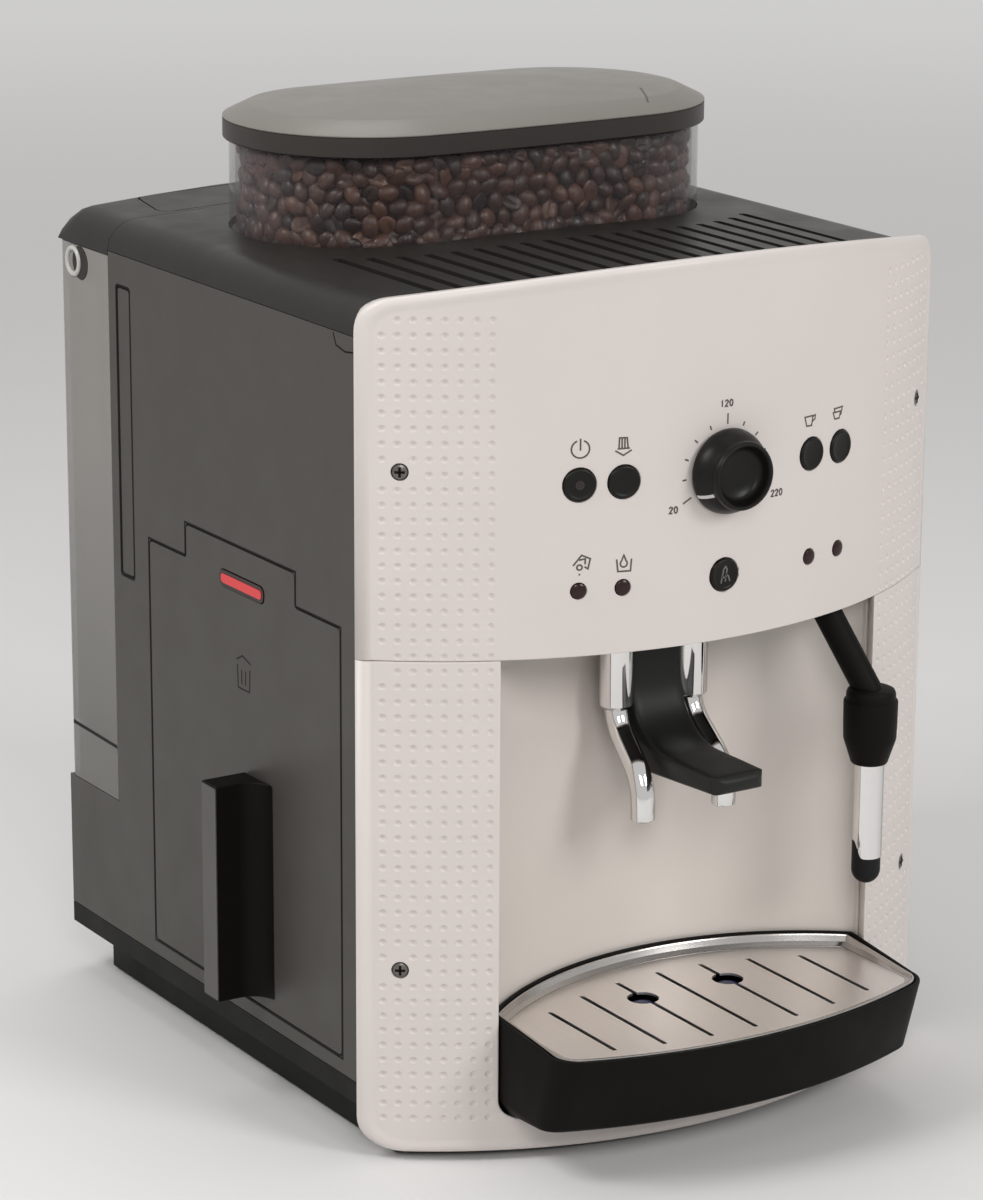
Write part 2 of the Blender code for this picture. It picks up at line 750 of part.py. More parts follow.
def make_base(finish):
    plinth_half = SIDE_X - PLINTH_INSET
    plinth = curve_between(lambda x: facade_y(x, FACADE_THICKNESS + PLINTH_FRONT_GAP),
                           -plinth_half, plinth_half)
    plinth += curve_between(lambda x: rear_y(x, PLINTH_INSET), plinth_half, -plinth_half)
    base = prism("base", plinth, PLINTH_Z, SKIRT_Z + OVERRUN, "z", finish["base"])
    skirt = behind_facade(CLEARANCE) + curve_between(rear_y, SIDE_X, -SIDE_X)
    add(base, prism("base_skirt", skirt, SKIRT_Z, FLOOR_Z, "z"))
    cut(base, prism("base_niche", niche_bay(CLEARANCE), NICHE_SILL_Z, FLOOR_Z + OVERRUN, "z"))
    foot_x = plinth_half - FOOT_EDGE_GAP - FOOT_RADIUS
    front = facade_y(plinth_half, FACADE_THICKNESS + PLINTH_FRONT_GAP)
    back = rear_y(plinth_half, PLINTH_INSET)
    edge = FOOT_EDGE_GAP + FOOT_RADIUS
    spots = {"front_left": (-foot_x, front + edge), "front_right": (foot_x, front + edge),
             "rear_left": (-foot_x, back - edge), "rear_right": (foot_x, back - edge)}
    sockets = []
    for name, (x, y) in spots.items():
        sockets.append(rod("socket", FOOT_RADIUS + CLEARANCE, PLINTH_Z - OVERRUN,
                           PLINTH_Z + FOOT_SINK, at(x, y, 0)))
        rod("foot_" + name, FOOT_RADIUS, 0, PLINTH_Z + FOOT_SINK - CLEARANCE,
            at(x, y, 0), ROUND_STEPS, finish["rubber"])
    cut(base, *sockets)


# Housing


def drawer_outline(inset):
    """Stepped outline of the grounds drawer's door, as (y, z)."""
    front, back = FRONT_Y + DRAWER_FRONT + inset, FRONT_Y + DRAWER_BACK - inset
    step_front = FRONT_Y + DRAWER_STEP_FRONT + inset
    step_back = back - DRAWER_STEP_BACK_GAP
    low, high = DRAWER_BOTTOM_Z + inset, DRAWER_TOP_Z - inset
    step = DRAWER_TOP_Z + DRAWER_STEP_RISE - inset
    corners = [(front, low), (back, low), (back, high), (step_back, high),
               (step_back, step), (step_front, step), (step_front, high), (front, high)]
    return round_corners(corners, DRAWER_CORNER, 2)


def make_side_panel(name, side, finish):
    """side is -1 for the left panel, which the drawer goes through, and 1 for the right."""
    outline = [(PANEL_FRONT_Y, SIDE_Z), (REAR_Y, SIDE_Z), (REAR_Y, SHELF_Z),
               (HOUSING_BACK_Y, SHELF_Z), (HOUSING_BACK_Y, SIDE_TOP_Z),
               (PANEL_FRONT_Y, SIDE_TOP_Z)]
    inner, outer = side * (SIDE_X - WALL), side * SIDE_X
    panel = prism(name, outline, min(inner, outer), max(inner, outer), "x", finish["grey"])
    grip_back = HOUSING_BACK_Y - GRIP_BACK_GAP
    grip_top = SIDE_TOP_Z - GRIP_TOP_GAP
    grip = rounded_box(grip_back - GRIP_WIDTH, grip_top - GRIP_HEIGHT, grip_back, grip_top,
                       GRIP_CORNER)
    floor, mouth = side * (SIDE_X - GRIP_SINK), side * (SIDE_X + OVERRUN)
    tools = [prism("grip", grip, min(floor, mouth), max(floor, mouth), "x")]
    if side < 0:
        tools.append(prism("doorway", drawer_outline(0), outer - OVERRUN, inner + OVERRUN, "x"))
    return cut(panel, *tools)


def make_rear_housing(finish):
    """Bulkhead in front of the tank, the shelf under it and the lower back, in one piece."""
    half = SIDE_X - WALL - CLEARANCE
    front = HOUSING_BACK_Y - WALL
    housing = box("rear_housing", (-half, front, SIDE_Z),
                  (half, HOUSING_BACK_Y, COVER_Z - SLIDE_GAP), finish["grey"])
    middle = (front + HOUSING_BACK_Y) / 2
    outer = [(-half, middle), (half, middle)] + curve_between(rear_y, half, -half)
    add(housing, prism("rear_shelf", outer, SIDE_Z, SHELF_Z, "z"))
    inner_half = half - WALL
    inner = [(-inner_half, HOUSING_BACK_Y), (inner_half, HOUSING_BACK_Y)]
    inner += curve_between(lambda x: rear_y(x, WALL), inner_half, -inner_half)
    place = on_rear(INLET_X, INLET_Z)
    cut(housing, prism("rear_hollow", inner, SIDE_Z - OVERRUN, SHELF_Z - WALL, "z"))
    cut(housing, rod("inlet_hole", INLET_RADIUS + CLEARANCE, -WALL - OVERRUN, OVERRUN, place))
    low, high = CLEARANCE - WALL - INLET_FLANGE, CLEARANCE + INLET_FLANGE
    profile = [(INLET_BORE_RADIUS, low), (INLET_RADIUS, low), (INLET_RADIUS, CLEARANCE),
               (INLET_FLANGE_RADIUS, CLEARANCE), (INLET_FLANGE_RADIUS, high),
               (INLET_BORE_RADIUS, high)]
    turned("cord_inlet", profile, place, SMALL_ROUND_STEPS, finish["rubber"], True)


def crown_profile(inset, low_z, steps):
    """Half-rounded top section from the left foot to the right foot, as (x, z)."""
    half = SIDE_X - inset
    edge = SIDE_X - SHOULDER_WIDTH
    shoulder = []
    for k in range(CORNER_STEPS + 1):
        angle = math.radians(90 * k / CORNER_STEPS)
        shoulder.append((edge + (half - edge) * math.cos(angle),
                         COVER_Z + (cover_z(edge, inset) - COVER_Z) * math.sin(angle)))
    right = [(half, low_z)] + shoulder
    crown = curve_between(lambda x: cover_z(x, inset), edge, -edge, steps)[1:-1]
    left = [(-x, z) for x, z in right[::-1]]
    return right + crown + left


def skin(name, outer, inner, finish=None):
    """A closed shell between two sheets, each a list of equally long rows of points."""
    rows, count = len(outer), len(outer[0])
    vertices = [p for sheet in (outer, inner) for row in sheet for p in row]
    offset = rows * count
    faces = []
    for r in range(rows - 1):
        for i in range(count - 1):
            a, b = r * count + i, (r + 1) * count + i
            faces.append((a, a + 1, b + 1, b))
            faces.append((offset + a, offset + b, offset + b + 1, offset + a + 1))
    border = [(0, i) for i in range(count)] + [(r, count - 1) for r in range(1, rows)]
    border += [(rows - 1, i) for i in range(count - 2, -1, -1)]
    border += [(r, 0) for r in range(rows - 2, 0, -1)]
    for (r0, i0), (r1, i1) in zip(border, border[1:] + border[:1]):
        a, b = r0 * count + i0, r1 * count + i1
        faces.append((a, offset + a, offset + b, b))
    return solid(name, vertices, faces, finish)


def hopper_outline(grow):
    """Plan of the hopper, a long oval with slightly bowed sides, grown by grow."""
    half = HOPPER_LENGTH / 2 + grow
    peak = HOPPER_WIDTH / 2 + grow
    radius = HOPPER_SIDE_RADIUS + grow
    corner = HOPPER_END_RADIUS + grow
    back = bowed_edge(half, HOPPER_Y + peak, radius, corner, 1, END_STEPS, FEW_STEPS)
    front = bowed_edge(half, HOPPER_Y - peak, radius, corner, -1, END_STEPS, FEW_STEPS)
    return back + front


def groove_back_y(x):
    """Where a groove ends behind, a set gap in front of the hopper's rounded outline."""
    straight = HOPPER_LENGTH / 2 - HOPPER_END_RADIUS
    reach = HOPPER_END_RADIUS + GROOVE_REAR_GAP
    past = max(0, abs(x) - straight)
    return HOPPER_Y - math.sqrt(max(reach ** 2 - past ** 2, 0))


def make_top_cover(finish):
    def rows(inset, low_z):
        profile = crown_profile(inset, low_z, ARC_STEPS)
        front = [facade_y(x, FACADE_THICKNESS + SLIDE_GAP)
                 if abs(x) < FACADE_HALF - 3 * FACADE_THICKNESS else PANEL_FRONT_Y
                 for x, z in profile]
        return [[(x, y, z) for (x, z), y in zip(profile, front)],
                [(x, HOUSING_BACK_Y, z) for x, z in profile]]
    cover = skin("top_cover", rows(0, COVER_Z), rows(COVER_THICKNESS, COVER_Z), finish["black"])
    cut(cover, prism("hopper_opening", hopper_outline(CLEARANCE), COVER_Z, COVER_PEAK_Z + OVERRUN))
    grooves = []
    count = int(GROOVE_SPAN / GROOVE_PITCH / 2)
    for i in range(-count, count + 1):
        x = i * GROOVE_PITCH
        front = facade_y(x) + FACADE_THICKNESS + GROOVE_FRONT_GAP
        outline = rounded_box(x - GROOVE_WIDTH / 2, front, x + GROOVE_WIDTH / 2, groove_back_y(x),
                              GROOVE_WIDTH / 2 - CLEARANCE, 2)
        grooves.append(prism("groove", outline, cover_z(x) - GROOVE_DEPTH, COVER_PEAK_Z + OVERRUN))
    cut(cover, *grooves)


# Facade


def facade_shell(name, front, low_z, high_z, finish):
    """The bowed wall between two heights, trimmed to a front outline of (x, z)."""
    wide = FACADE_HALF + SLIDE_GAP
    inner = FACADE_HALF - FACADE_THICKNESS
    back = FRONT_Y + FACADE_RETURN
    outline = curve_between(facade_y, -wide, wide) + [(wide, back), (inner, back)]
    outline += curve_between(lambda x: facade_y(x, FACADE_THICKNESS), inner, -inner)
    outline += [(-inner, back), (-wide, back)]
    shell = prism(name, outline, low_z - OVERRUN, high_z + OVERRUN, "z", finish)
    trim = prism(name + "_outline", front, FRONT_Y - FACADE_BOW - OVERRUN, back + OVERRUN, "y")
    return keep_common(shell, trim)


def screw_spots():
    x = FACADE_HALF - SCREW_INSET
    return {"upper_left": (-x, SCREW_HIGH_Z), "upper_right": (x, SCREW_HIGH_Z),
            "lower_left": (-x, SCREW_LOW_Z), "lower_right": (x, SCREW_LOW_Z)}


def screw_seats(row):
    """Stepped holes for the heads and shanks of the screws of one row."""
    seats = []
    for name, (x, z) in screw_spots().items():
        if not name.startswith(row):
            continue
        profile = [(SCREW_SHANK_RADIUS + CLEARANCE, -FACADE_THICKNESS - OVERRUN),
                   (SCREW_SHANK_RADIUS + CLEARANCE, -SCREW_SINK),
                   (SCREW_HEAD_RADIUS + CLEARANCE, -SCREW_SINK),
                   (SCREW_HEAD_RADIUS + CLEARANCE, OVERRUN)]
        seats.append(turned("seat", profile, on_facade(x, z), SMALL_ROUND_STEPS))
    return seats


def make_screws(finish):
    """Round heads with a cross recess."""
    for name, (x, z) in screw_spots().items():
        under, top = CLEARANCE - SCREW_SINK, CLEARANCE - SCREW_SINK + SCREW_HEAD_HEIGHT
        profile = [(SCREW_SHANK_RADIUS, top - SCREW_LENGTH), (SCREW_SHANK_RADIUS, under),
                   (SCREW_HEAD_RADIUS, under), (SCREW_HEAD_RADIUS, (under + top) / 2),
                   (SCREW_HEAD_RADIUS - SCREW_CROSS_WIDTH, top)]
        place = on_facade(x, z)
        screw = turned("screw_" + name, profile, place, SMALL_ROUND_STEPS, finish["metal"])
        long, wide = SCREW_CROSS_LENGTH / 2, SCREW_CROSS_WIDTH / 2
        cross = [(long, wide), (wide, wide), (wide, long), (-wide, long), (-wide, wide),
                 (-long, wide), (-long, -wide), (-wide, -wide), (-wide, -long),
                 (wide, -long), (wide, -wide), (long, -wide)]
        rings = [[place @ Vector((u, v, w)) for u, v in cross]
                 for w in (top - SCREW_CROSS_DEPTH, top + OVERRUN)]
        cut(screw, loft("cross", rings))


def button_spots():
    return {"power_button": (-BUTTON_OUTER_X, CONTROL_ROW_Z),
            "rinse_button": (-BUTTON_INNER_X, CONTROL_ROW_Z),
            "one_cup_button": (BUTTON_INNER_X, CONTROL_ROW_Z),
            "two_cup_button": (BUTTON_OUTER_X, CONTROL_ROW_Z),
            "steam_button": (0, LAMP_ROW_Z)}


def lamp_spots():
    return {"lamp_outer_left": (-BUTTON_OUTER_X, LAMP_ROW_Z),
            "lamp_inner_left": (-BUTTON_INNER_X, LAMP_ROW_Z),
            "lamp_inner_right": (BUTTON_INNER_X, LAMP_ROW_Z),
            "lamp_outer_right": (BUTTON_OUTER_X, LAMP_ROW_Z)}


def make_control_panel(finish):
    """Upper half of the facade, with its holes for buttons, lamps, knob and screws."""
    top = bowed_edge(FACADE_HALF, FACADE_PEAK_Z, FACADE_ARCH_RADIUS, FACADE_TOP_CORNER, 1)
    front = top + [(-FACADE_HALF, PANEL_EDGE_Z), (FACADE_HALF, PANEL_EDGE_Z)]
    panel = facade_shell("control_panel", front, PANEL_EDGE_Z, FACADE_PEAK_Z, finish["white"])
    holes = [(spot, BUTTON_RADIUS) for spot in button_spots().values()]
    holes += [(spot, LAMP_RADIUS) for spot in lamp_spots().values()]
    holes.append(((0, CONTROL_ROW_Z), KNOB_SHAFT_RADIUS))
    tools = [rod("hole", radius + CLEARANCE, -FACADE_THICKNESS - OVERRUN, OVERRUN,
                 on_facade(*spot), SMALL_ROUND_STEPS) for spot, radius in holes]
    cut(panel, *tools, *screw_seats("upper"))


def make_lower_facade(finish):
    """Lower half: two side strips joined by a sill under the drip tray."""
    half, corner = FACADE_HALF, FACADE_BOTTOM_CORNER
    low, seam, sill = FACADE_BOTTOM_Z, FACADE_SEAM_Z, NICHE_SILL_Z
    front = [(-half, seam)] + arc((corner - half, low + corner), corner, 180, 270, CORNER_STEPS)
    front += arc((half - corner, low + corner), corner, 270, 360, CORNER_STEPS)
    front += [(half, seam), (NICHE_HALF, seam)]
    inner = NICHE_HALF - NICHE_CORNER
    front += arc((inner, sill + NICHE_CORNER), NICHE_CORNER, 360, 270, CORNER_STEPS)
    front += arc((-inner, sill + NICHE_CORNER), NICHE_CORNER, 270, 180, CORNER_STEPS)
    front += [(-NICHE_HALF, seam)]
    shell = facade_shell("lower_facade", front, low, seam, finish["white"])
    cut(shell, *screw_seats("lower"))


# Niche


def make_niche(finish):
    half, outer = NICHE_HALF, NICHE_HALF + WALL
    flange = facade_y(outer, FACADE_THICKNESS + CLEARANCE)
    outline = [(-half, flange)] + curve_between(niche_y, -half, half) + [(half, flange)]
    outline += [(outer, flange)] + curve_between(lambda x: niche_y(x, -WALL), outer, -outer)
    outline += [(-outer, flange)]
    prism("niche_wall", outline, NICHE_SILL_Z + CLEARANCE, NICHE_TOP_Z, "z", finish["liner"])
    side = half - CLEARANCE
    plan = curve_between(lambda x: facade_y(x, FACADE_THICKNESS + CLEARANCE), -side, side)
    plan += curve_between(lambda x: niche_y(x, CLEARANCE), side, -side)
    ceiling = prism("outlet_guide", plan, GUIDE_Z, GUIDE_Z + GUIDE_THICKNESS, "z", finish["black"])
    slot_half = OUTLET_TUBE_SPACING / 2 + OUTLET_TUBE_RADIUS + SLIDE_GAP
    front = OUTLET_Y - max(STEM_FRONT, OUTLET_TUBE_RADIUS) - SLIDE_GAP
    back = OUTLET_Y + max(STEM_BACK, OUTLET_TUBE_RADIUS) + SLIDE_GAP
    slot = rounded_box(-slot_half, front, slot_half, back, OUTLET_TUBE_RADIUS)
    low, high = GUIDE_Z - OVERRUN, GUIDE_Z + GUIDE_THICKNESS + OVERRUN
    socket = rod("wand_socket", WAND_BALL_RADIUS + CLEARANCE, low, high,
                 at(WAND_PIVOT_X, WAND_PIVOT_Y, 0), SMALL_ROUND_STEPS)
    cut(ceiling, prism("outlet_slot", slot, low, high), socket)


# Drip tray


def tray_outline(inset, front_y, corner=TRAY_CORNER):
    """Plan of the tray: a bowed front with round corners and a back that follows the niche."""
    half = TRAY_HALF - inset
    front = bowed_edge(half, front_y + inset, TRAY_FRONT_RADIUS - inset,
                       max(corner - inset, TRAY_WALL), -1)
    back = curve_between(lambda x: niche_y(x, SLIDE_GAP + inset), half, -half)
    return front, back


def tray_ring(inset, front_y, front_z, back_z, corner=TRAY_CORNER):
    front, back = tray_outline(inset, front_y, corner)
    return [(x, y, front_z) for x, y in front] + [(x, y, back_z) for x, y in back]


def make_drip_tray(finish):
    heel = FRONT_Y - FACADE_BOW - SLIDE_GAP
    chin = TRAY_FRONT_Y + TRAY_TUCK
    chin_z = TRAY_Z + TRAY_CHIN_RISE
    back_z = TRAY_RIM_Z + TRAY_BACK_RISE
    ledge = TRAY_WALL + PLATE_LEDGE
    ledge_z = PLATE_Z - CLEARANCE
    eased = NICHE_CORNER * (1 - math.sqrt(1 / 2))
    halfway = (heel + chin) / 2
    rings = [tray_ring(NICHE_CORNER, heel - NICHE_CORNER, TRAY_Z, TRAY_Z, TRAY_WALL),
             tray_ring(eased, halfway - eased, (TRAY_Z + chin_z) / 2, TRAY_Z + eased, TRAY_WALL),
             tray_ring(0, chin, chin_z, TRAY_Z + NICHE_CORNER),
             tray_ring(0, TRAY_FRONT_Y, TRAY_RIM_Z, back_z),
             tray_ring(TRAY_WALL, TRAY_FRONT_Y, TRAY_RIM_Z, back_z),
             tray_ring(TRAY_WALL, TRAY_FRONT_Y, ledge_z, ledge_z),
             tray_ring(ledge, TRAY_FRONT_Y, ledge_z, ledge_z),
             tray_ring(ledge, chin, chin_z + TRAY_WALL, TRAY_FLOOR_Z + eased),
             tray_ring(NICHE_CORNER, heel - NICHE_CORNER, TRAY_FLOOR_Z, TRAY_FLOOR_Z, TRAY_WALL)]
    tray = loft("drip_tray", rings, finish["black"])
    front, back = tray_outline(TRAY_WALL + CLEARANCE, TRAY_FRONT_Y)
    plate = prism("tray_plate", front + back, PLATE_Z, PLATE_Z + PLATE_THICKNESS, "z",
                  finish["steel"])
    low, high = PLATE_Z - OVERRUN, PLATE_Z + PLATE_THICKNESS + OVERRUN
    slots = []
    for i in range(SLOT_COUNT):
        x = (i - (SLOT_COUNT - 1) / 2) * SLOT_PITCH
        front_y = TRAY_FRONT_Y + TRAY_FRONT_RADIUS - math.sqrt(TRAY_FRONT_RADIUS ** 2 - x ** 2)
        outline = rounded_box(x - SLOT_WIDTH / 2, front_y + SLOT_FRONT_GAP, x + SLOT_WIDTH / 2,
                              niche_y(x) - SLOT_BACK_GAP, SLOT_WIDTH / 2 - CLEARANCE, 2)
        slots.append(prism("slot", outline, low, high))
    cut(plate, *slots)
    floats = {}
    holes = []
    for name, x in (("float_left", -FLOAT_SPACING / 2), ("float_right", FLOAT_SPACING / 2)):
        place = at(x, FRONT_Y - FLOAT_FORWARD, 0)
        holes.append(rod("float_hole", FLOAT_HOLE_RADIUS, low, high, place, SMALL_ROUND_STEPS))
        foot = TRAY_FLOOR_Z + CLEARANCE
        top = PLATE_Z + PLATE_THICKNESS + CLEARANCE
        profile = [(FLOAT_DISC_RADIUS, foot), (FLOAT_DISC_RADIUS, foot + FLOAT_DISC_HEIGHT),
                   (FLOAT_RADIUS, foot + FLOAT_DISC_HEIGHT), (FLOAT_RADIUS, top - CLEARANCE),
                   (FLOAT_RADIUS - CLEARANCE, top)]
        floats[name] = turned(name, profile, place, SMALL_ROUND_STEPS, finish["blue"])
    cut(plate, *holes)
    tray_joint = joint("tray_pull", (0, FRONT_Y, TRAY_Z), tray)
    plate_joint = joint("plate_lift", (0, FRONT_Y, PLATE_Z), plate)
    for name, piece in floats.items():
        float_joint = joint(name + "_rise", piece.data.vertices[0].co, piece)
        float_joint.parent = tray_joint
        float_joint.matrix_parent_inverse = Matrix.Translation(tray_joint.location).inverted()
    plate_joint.parent = tray_joint
    plate_joint.matrix_parent_inverse = Matrix.Translation(tray_joint.location).inverted()


# Coffee outlet


def make_outlet(finish):
    half = OUTLET_TUBE_SPACING / 2 - OUTLET_TUBE_RADIUS - CLEARANCE
    front, back = OUTLET_Y - STEM_FRONT, OUTLET_Y + STEM_BACK
    nose = OUTLET_Y - BEAK_REACH
    chin_z = BEAK_BOTTOM_Z + BEAK_CHIN_RISE
    side = [(back, OUTLET_TUBE_TOP_Z), (front, OUTLET_TUBE_TOP_Z)]
    side += [(front - BEAK_THROAT + y, BEAK_TOP_Z + z) for y, z in
             arc((0, BEAK_THROAT), BEAK_THROAT, 360, 270, 2 * CORNER_STEPS)]
    side += arc((nose + BEAK_NOSE_RADIUS, BEAK_TOP_Z - BEAK_NOSE_RADIUS), BEAK_NOSE_RADIUS,
                90, 180, CORNER_STEPS)
    side += arc((nose + BEAK_NOSE_RADIUS, chin_z + BEAK_NOSE_RADIUS), BEAK_NOSE_RADIUS,
                180, 270, CORNER_STEPS)
    side += [(front, BEAK_BOTTOM_Z), (back, BEAK_BOTTOM_Z + BEAK_THROAT)]
    body = prism("outlet_body", side, -half, half, "x", finish["black"])
    trim = bowed_trim(half, nose, back)
    keep_common(body, prism("outlet_trim", trim, BEAK_BOTTOM_Z - OVERRUN,
                            OUTLET_TUBE_TOP_Z + OVERRUN))
    pieces = [body]
    for name, sign in (("coffee_tube_left", -1), ("coffee_tube_right", 1)):
        x = sign * OUTLET_TUBE_SPACING / 2
        low, high, rounding = OUTLET_TUBE_BOTTOM_Z, OUTLET_TUBE_TOP_Z, OUTLET_TUBE_ROUND
        profile = [(OUTLET_TUBE_RADIUS - rounding, low), (OUTLET_TUBE_RADIUS, low + rounding),
                   (OUTLET_TUBE_RADIUS, high)]
        tube = turned(name, profile, at(x, OUTLET_Y, 0), ROUND_STEPS, finish["chrome"])
        drop = NOZZLE_FORWARD
        path = rounded_path([(x, OUTLET_Y, low + OVERRUN),
                             (x, OUTLET_Y, NOZZLE_BEND_Z + drop),
                             (x, OUTLET_Y - drop, NOZZLE_BEND_Z),
                             (x, OUTLET_Y - drop, NOZZLE_TIP_Z)], NOZZLE_BEND_RADIUS)
        nozzle = sweep(name + "_nozzle", path, [NOZZLE_RADIUS] * len(path))
        add(tube, nozzle)
        bore = rod("bore", NOZZLE_BORE_RADIUS, NOZZLE_TIP_Z - OVERRUN,
                   NOZZLE_TIP_Z + NOZZLE_BORE_DEPTH, at(x, OUTLET_Y - drop, 0), SMALL_ROUND_STEPS // 2)
        cut(tube, bore)
        pieces.append(tube)
    joint("outlet_slide", (0, OUTLET_Y, BEAK_BOTTOM_Z), *pieces)


def bowed_trim(half, nose, back):
    """Plan of the beak with its two front corners rounded, a little wider than the beak."""
    wide = half + SLIDE_GAP
    corner = BEAK_CORNER
    points = [(wide, back + OVERRUN), (-wide, back + OVERRUN)]
    points += arc((corner - wide, nose + corner), corner, 180, 270, CORNER_STEPS)
    points += arc((wide - corner, nose + corner), corner, 270, 360, CORNER_STEPS)
    return points


# Steam wand


def make_wand(finish):
    elbow_z = WAND_PIVOT_Z - WAND_ARM_DROP
    path = rounded_path([(WAND_PIVOT_X, WAND_PIVOT_Y, WAND_PIVOT_Z),
                         (WAND_PIVOT_X, WAND_PIVOT_Y, elbow_z),
                         (WAND_X, WAND_Y, WAND_GRIP_TOP_Z + WAND_ARM_DROP),
                         (WAND_X, WAND_Y, WAND_GRIP_TOP_Z + CLEARANCE)], WAND_ARM_BEND)
    arm = sweep("steam_arm", path, [WAND_ARM_RADIUS] * len(path), SMALL_ROUND_STEPS, finish["black"])
    ball = [(WAND_BALL_RADIUS * math.cos(a), WAND_BALL_RADIUS * math.sin(a)) for a in
            (math.radians(v) for v in BALL_ANGLES)]
    add(arm, turned("steam_ball", ball, at(WAND_PIVOT_X, WAND_PIVOT_Y, WAND_PIVOT_Z),
                    SMALL_ROUND_STEPS))
    place = at(WAND_X, WAND_Y, 0)
    top, foot = WAND_GRIP_TOP_Z, WAND_GRIP_FOOT_Z
    spigot_z = foot + (top - foot) * WAND_SPIGOT_SHARE
    bore = WAND_SPIGOT_RADIUS + CLEARANCE
    grip = [(WAND_ARM_RADIUS, top), (WAND_GRIP_RADIUS, top - WAND_GRIP_STEP / 4),
            (WAND_GRIP_RADIUS, top - WAND_GRIP_STEP), (WAND_GRIP_FOOT_RADIUS, foot),
            (bore, foot), (bore, spigot_z + CLEARANCE)]
    grip_piece = turned("steam_grip", grip, place, SMALL_ROUND_STEPS, finish["black"])
    tip_top = WAND_TIP_Z + WAND_TIP_LENGTH
    tube = [(WAND_SPIGOT_RADIUS, tip_top - WAND_TIP_SPIGOT_LENGTH),
            (WAND_SPIGOT_RADIUS, tip_top + CLEARANCE), (WAND_TUBE_RADIUS, tip_top + CLEARANCE),
            (WAND_TUBE_RADIUS, foot - CLEARANCE), (WAND_SPIGOT_RADIUS, foot - CLEARANCE),
            (WAND_SPIGOT_RADIUS, spigot_z)]
    tube_piece = turned("steam_tube", tube, place, SMALL_ROUND_STEPS, finish["chrome"])
    radius = WAND_TUBE_RADIUS
    tip = [(radius * math.cos(a), WAND_TIP_Z + radius + radius * math.sin(a)) for a in
           (math.radians(v) for v in BALL_ANGLES if v <= 0)]
    tip += [(radius, tip_top), (bore, tip_top),
            (bore, tip_top - WAND_TIP_SPIGOT_LENGTH - CLEARANCE)]
    tip_piece = turned("steam_tip", tip, place, SMALL_ROUND_STEPS, finish["rubber"])
    joint("wand_swing", (WAND_PIVOT_X, WAND_PIVOT_Y, WAND_PIVOT_Z), arm, grip_piece,
          tube_piece, tip_piece)


# Controls


def make_controls(finish):
    for name, spot in button_spots().items():
        top, edge = BUTTON_STAND_OUT, BUTTON_RADIUS - BUTTON_LIP
        profile = [(BUTTON_RADIUS, -BUTTON_DEPTH), (BUTTON_RADIUS, top - BUTTON_LIP), (edge, top),
                   (edge - BUTTON_LIP, top), (edge - 2 * BUTTON_LIP, top - BUTTON_DISH)]
        button = turned(name, profile, on_facade(*spot), ROUND_STEPS, finish["black"])
        joint(name + "_press", on_facade(*spot).translation, button)
    for name, spot in lamp_spots().items():
        under = -FACADE_THICKNESS - CLEARANCE
        collar = LAMP_RADIUS + LAMP_COLLAR
        profile = [(collar, -LAMP_DEPTH), (collar, under), (LAMP_RADIUS, under),
                   (LAMP_RADIUS, 0), (LAMP_RADIUS - LAMP_STAND_OUT, LAMP_STAND_OUT)]
        turned(name, profile, on_facade(*spot), SMALL_ROUND_STEPS, finish["lamp"])
    place = on_facade(0, CONTROL_ROW_Z)
    shaft = -FACADE_THICKNESS - BOARD_GAP + ENCODER_LENGTH - KNOB_SHAFT_GRIP
    lip_z = KNOB_LENGTH - KNOB_LIP
    profile = [(KNOB_SHAFT_RADIUS, shaft), (KNOB_SHAFT_RADIUS, KNOB_LIFT), (KNOB_RADIUS, KNOB_LIFT),
               (KNOB_FRONT_RADIUS, lip_z), (KNOB_FRONT_RADIUS - KNOB_LIP, KNOB_LENGTH),
               (KNOB_DISH_RADIUS, KNOB_LENGTH), (KNOB_DISH_RADIUS - KNOB_LIP, lip_z),
               (KNOB_DISH_RADIUS - KNOB_DISH_DEPTH, KNOB_LENGTH - KNOB_DISH_DEPTH)]
    knob = turned("volume_knob", profile, place, ROUND_STEPS + END_STEPS, finish["black"])
    joint("volume_turn", place.translation, knob)
    half = BOARD_WIDTH / 2
    low, high = LAMP_ROW_Z - BOARD_MARGIN, CONTROL_ROW_Z + BOARD_MARGIN
    board = box("control_board", (-half, BOARD_Y, low), (half, BOARD_Y + BOARD_THICKNESS, high),
                finish["board"])
    inside = BOARD_Y + BOARD_THICKNESS / 2
    spot = along_y(0, inside, CONTROL_ROW_Z)
    add(board, rod("encoder", ENCODER_RADIUS, 0, ENCODER_LENGTH + BOARD_THICKNESS / 2, spot))
    post_x = BOARD_POST_SPACING / 2
    reach = inside - facade_y(post_x - BOARD_POST_RADIUS, FACADE_THICKNESS + CLEARANCE)
    for x in (-post_x, post_x):
        for z in (low + BOARD_POST_INSET, high - BOARD_POST_INSET):
            lean = facade_y(abs(x) + BOARD_POST_RADIUS, FACADE_THICKNESS + CLEARANCE)
            add(board, rod("post", BOARD_POST_RADIUS, 0, min(reach, inside - lean),
                           along_y(x, inside, z), SMALL_ROUND_STEPS))
    bore = ENCODER_LENGTH - KNOB_SHAFT_GRIP - CLEARANCE
    cut(board, rod("encoder_bore", KNOB_SHAFT_RADIUS + CLEARANCE, bore - KNOB_SHAFT_GRIP,
                   ENCODER_LENGTH + OVERRUN, spot, SMALL_ROUND_STEPS))


# Bean hopper, its lid and the grinder


def hopper_ring(grow, z):
    return [(x, y, z) for x, y in hopper_outline(grow)]


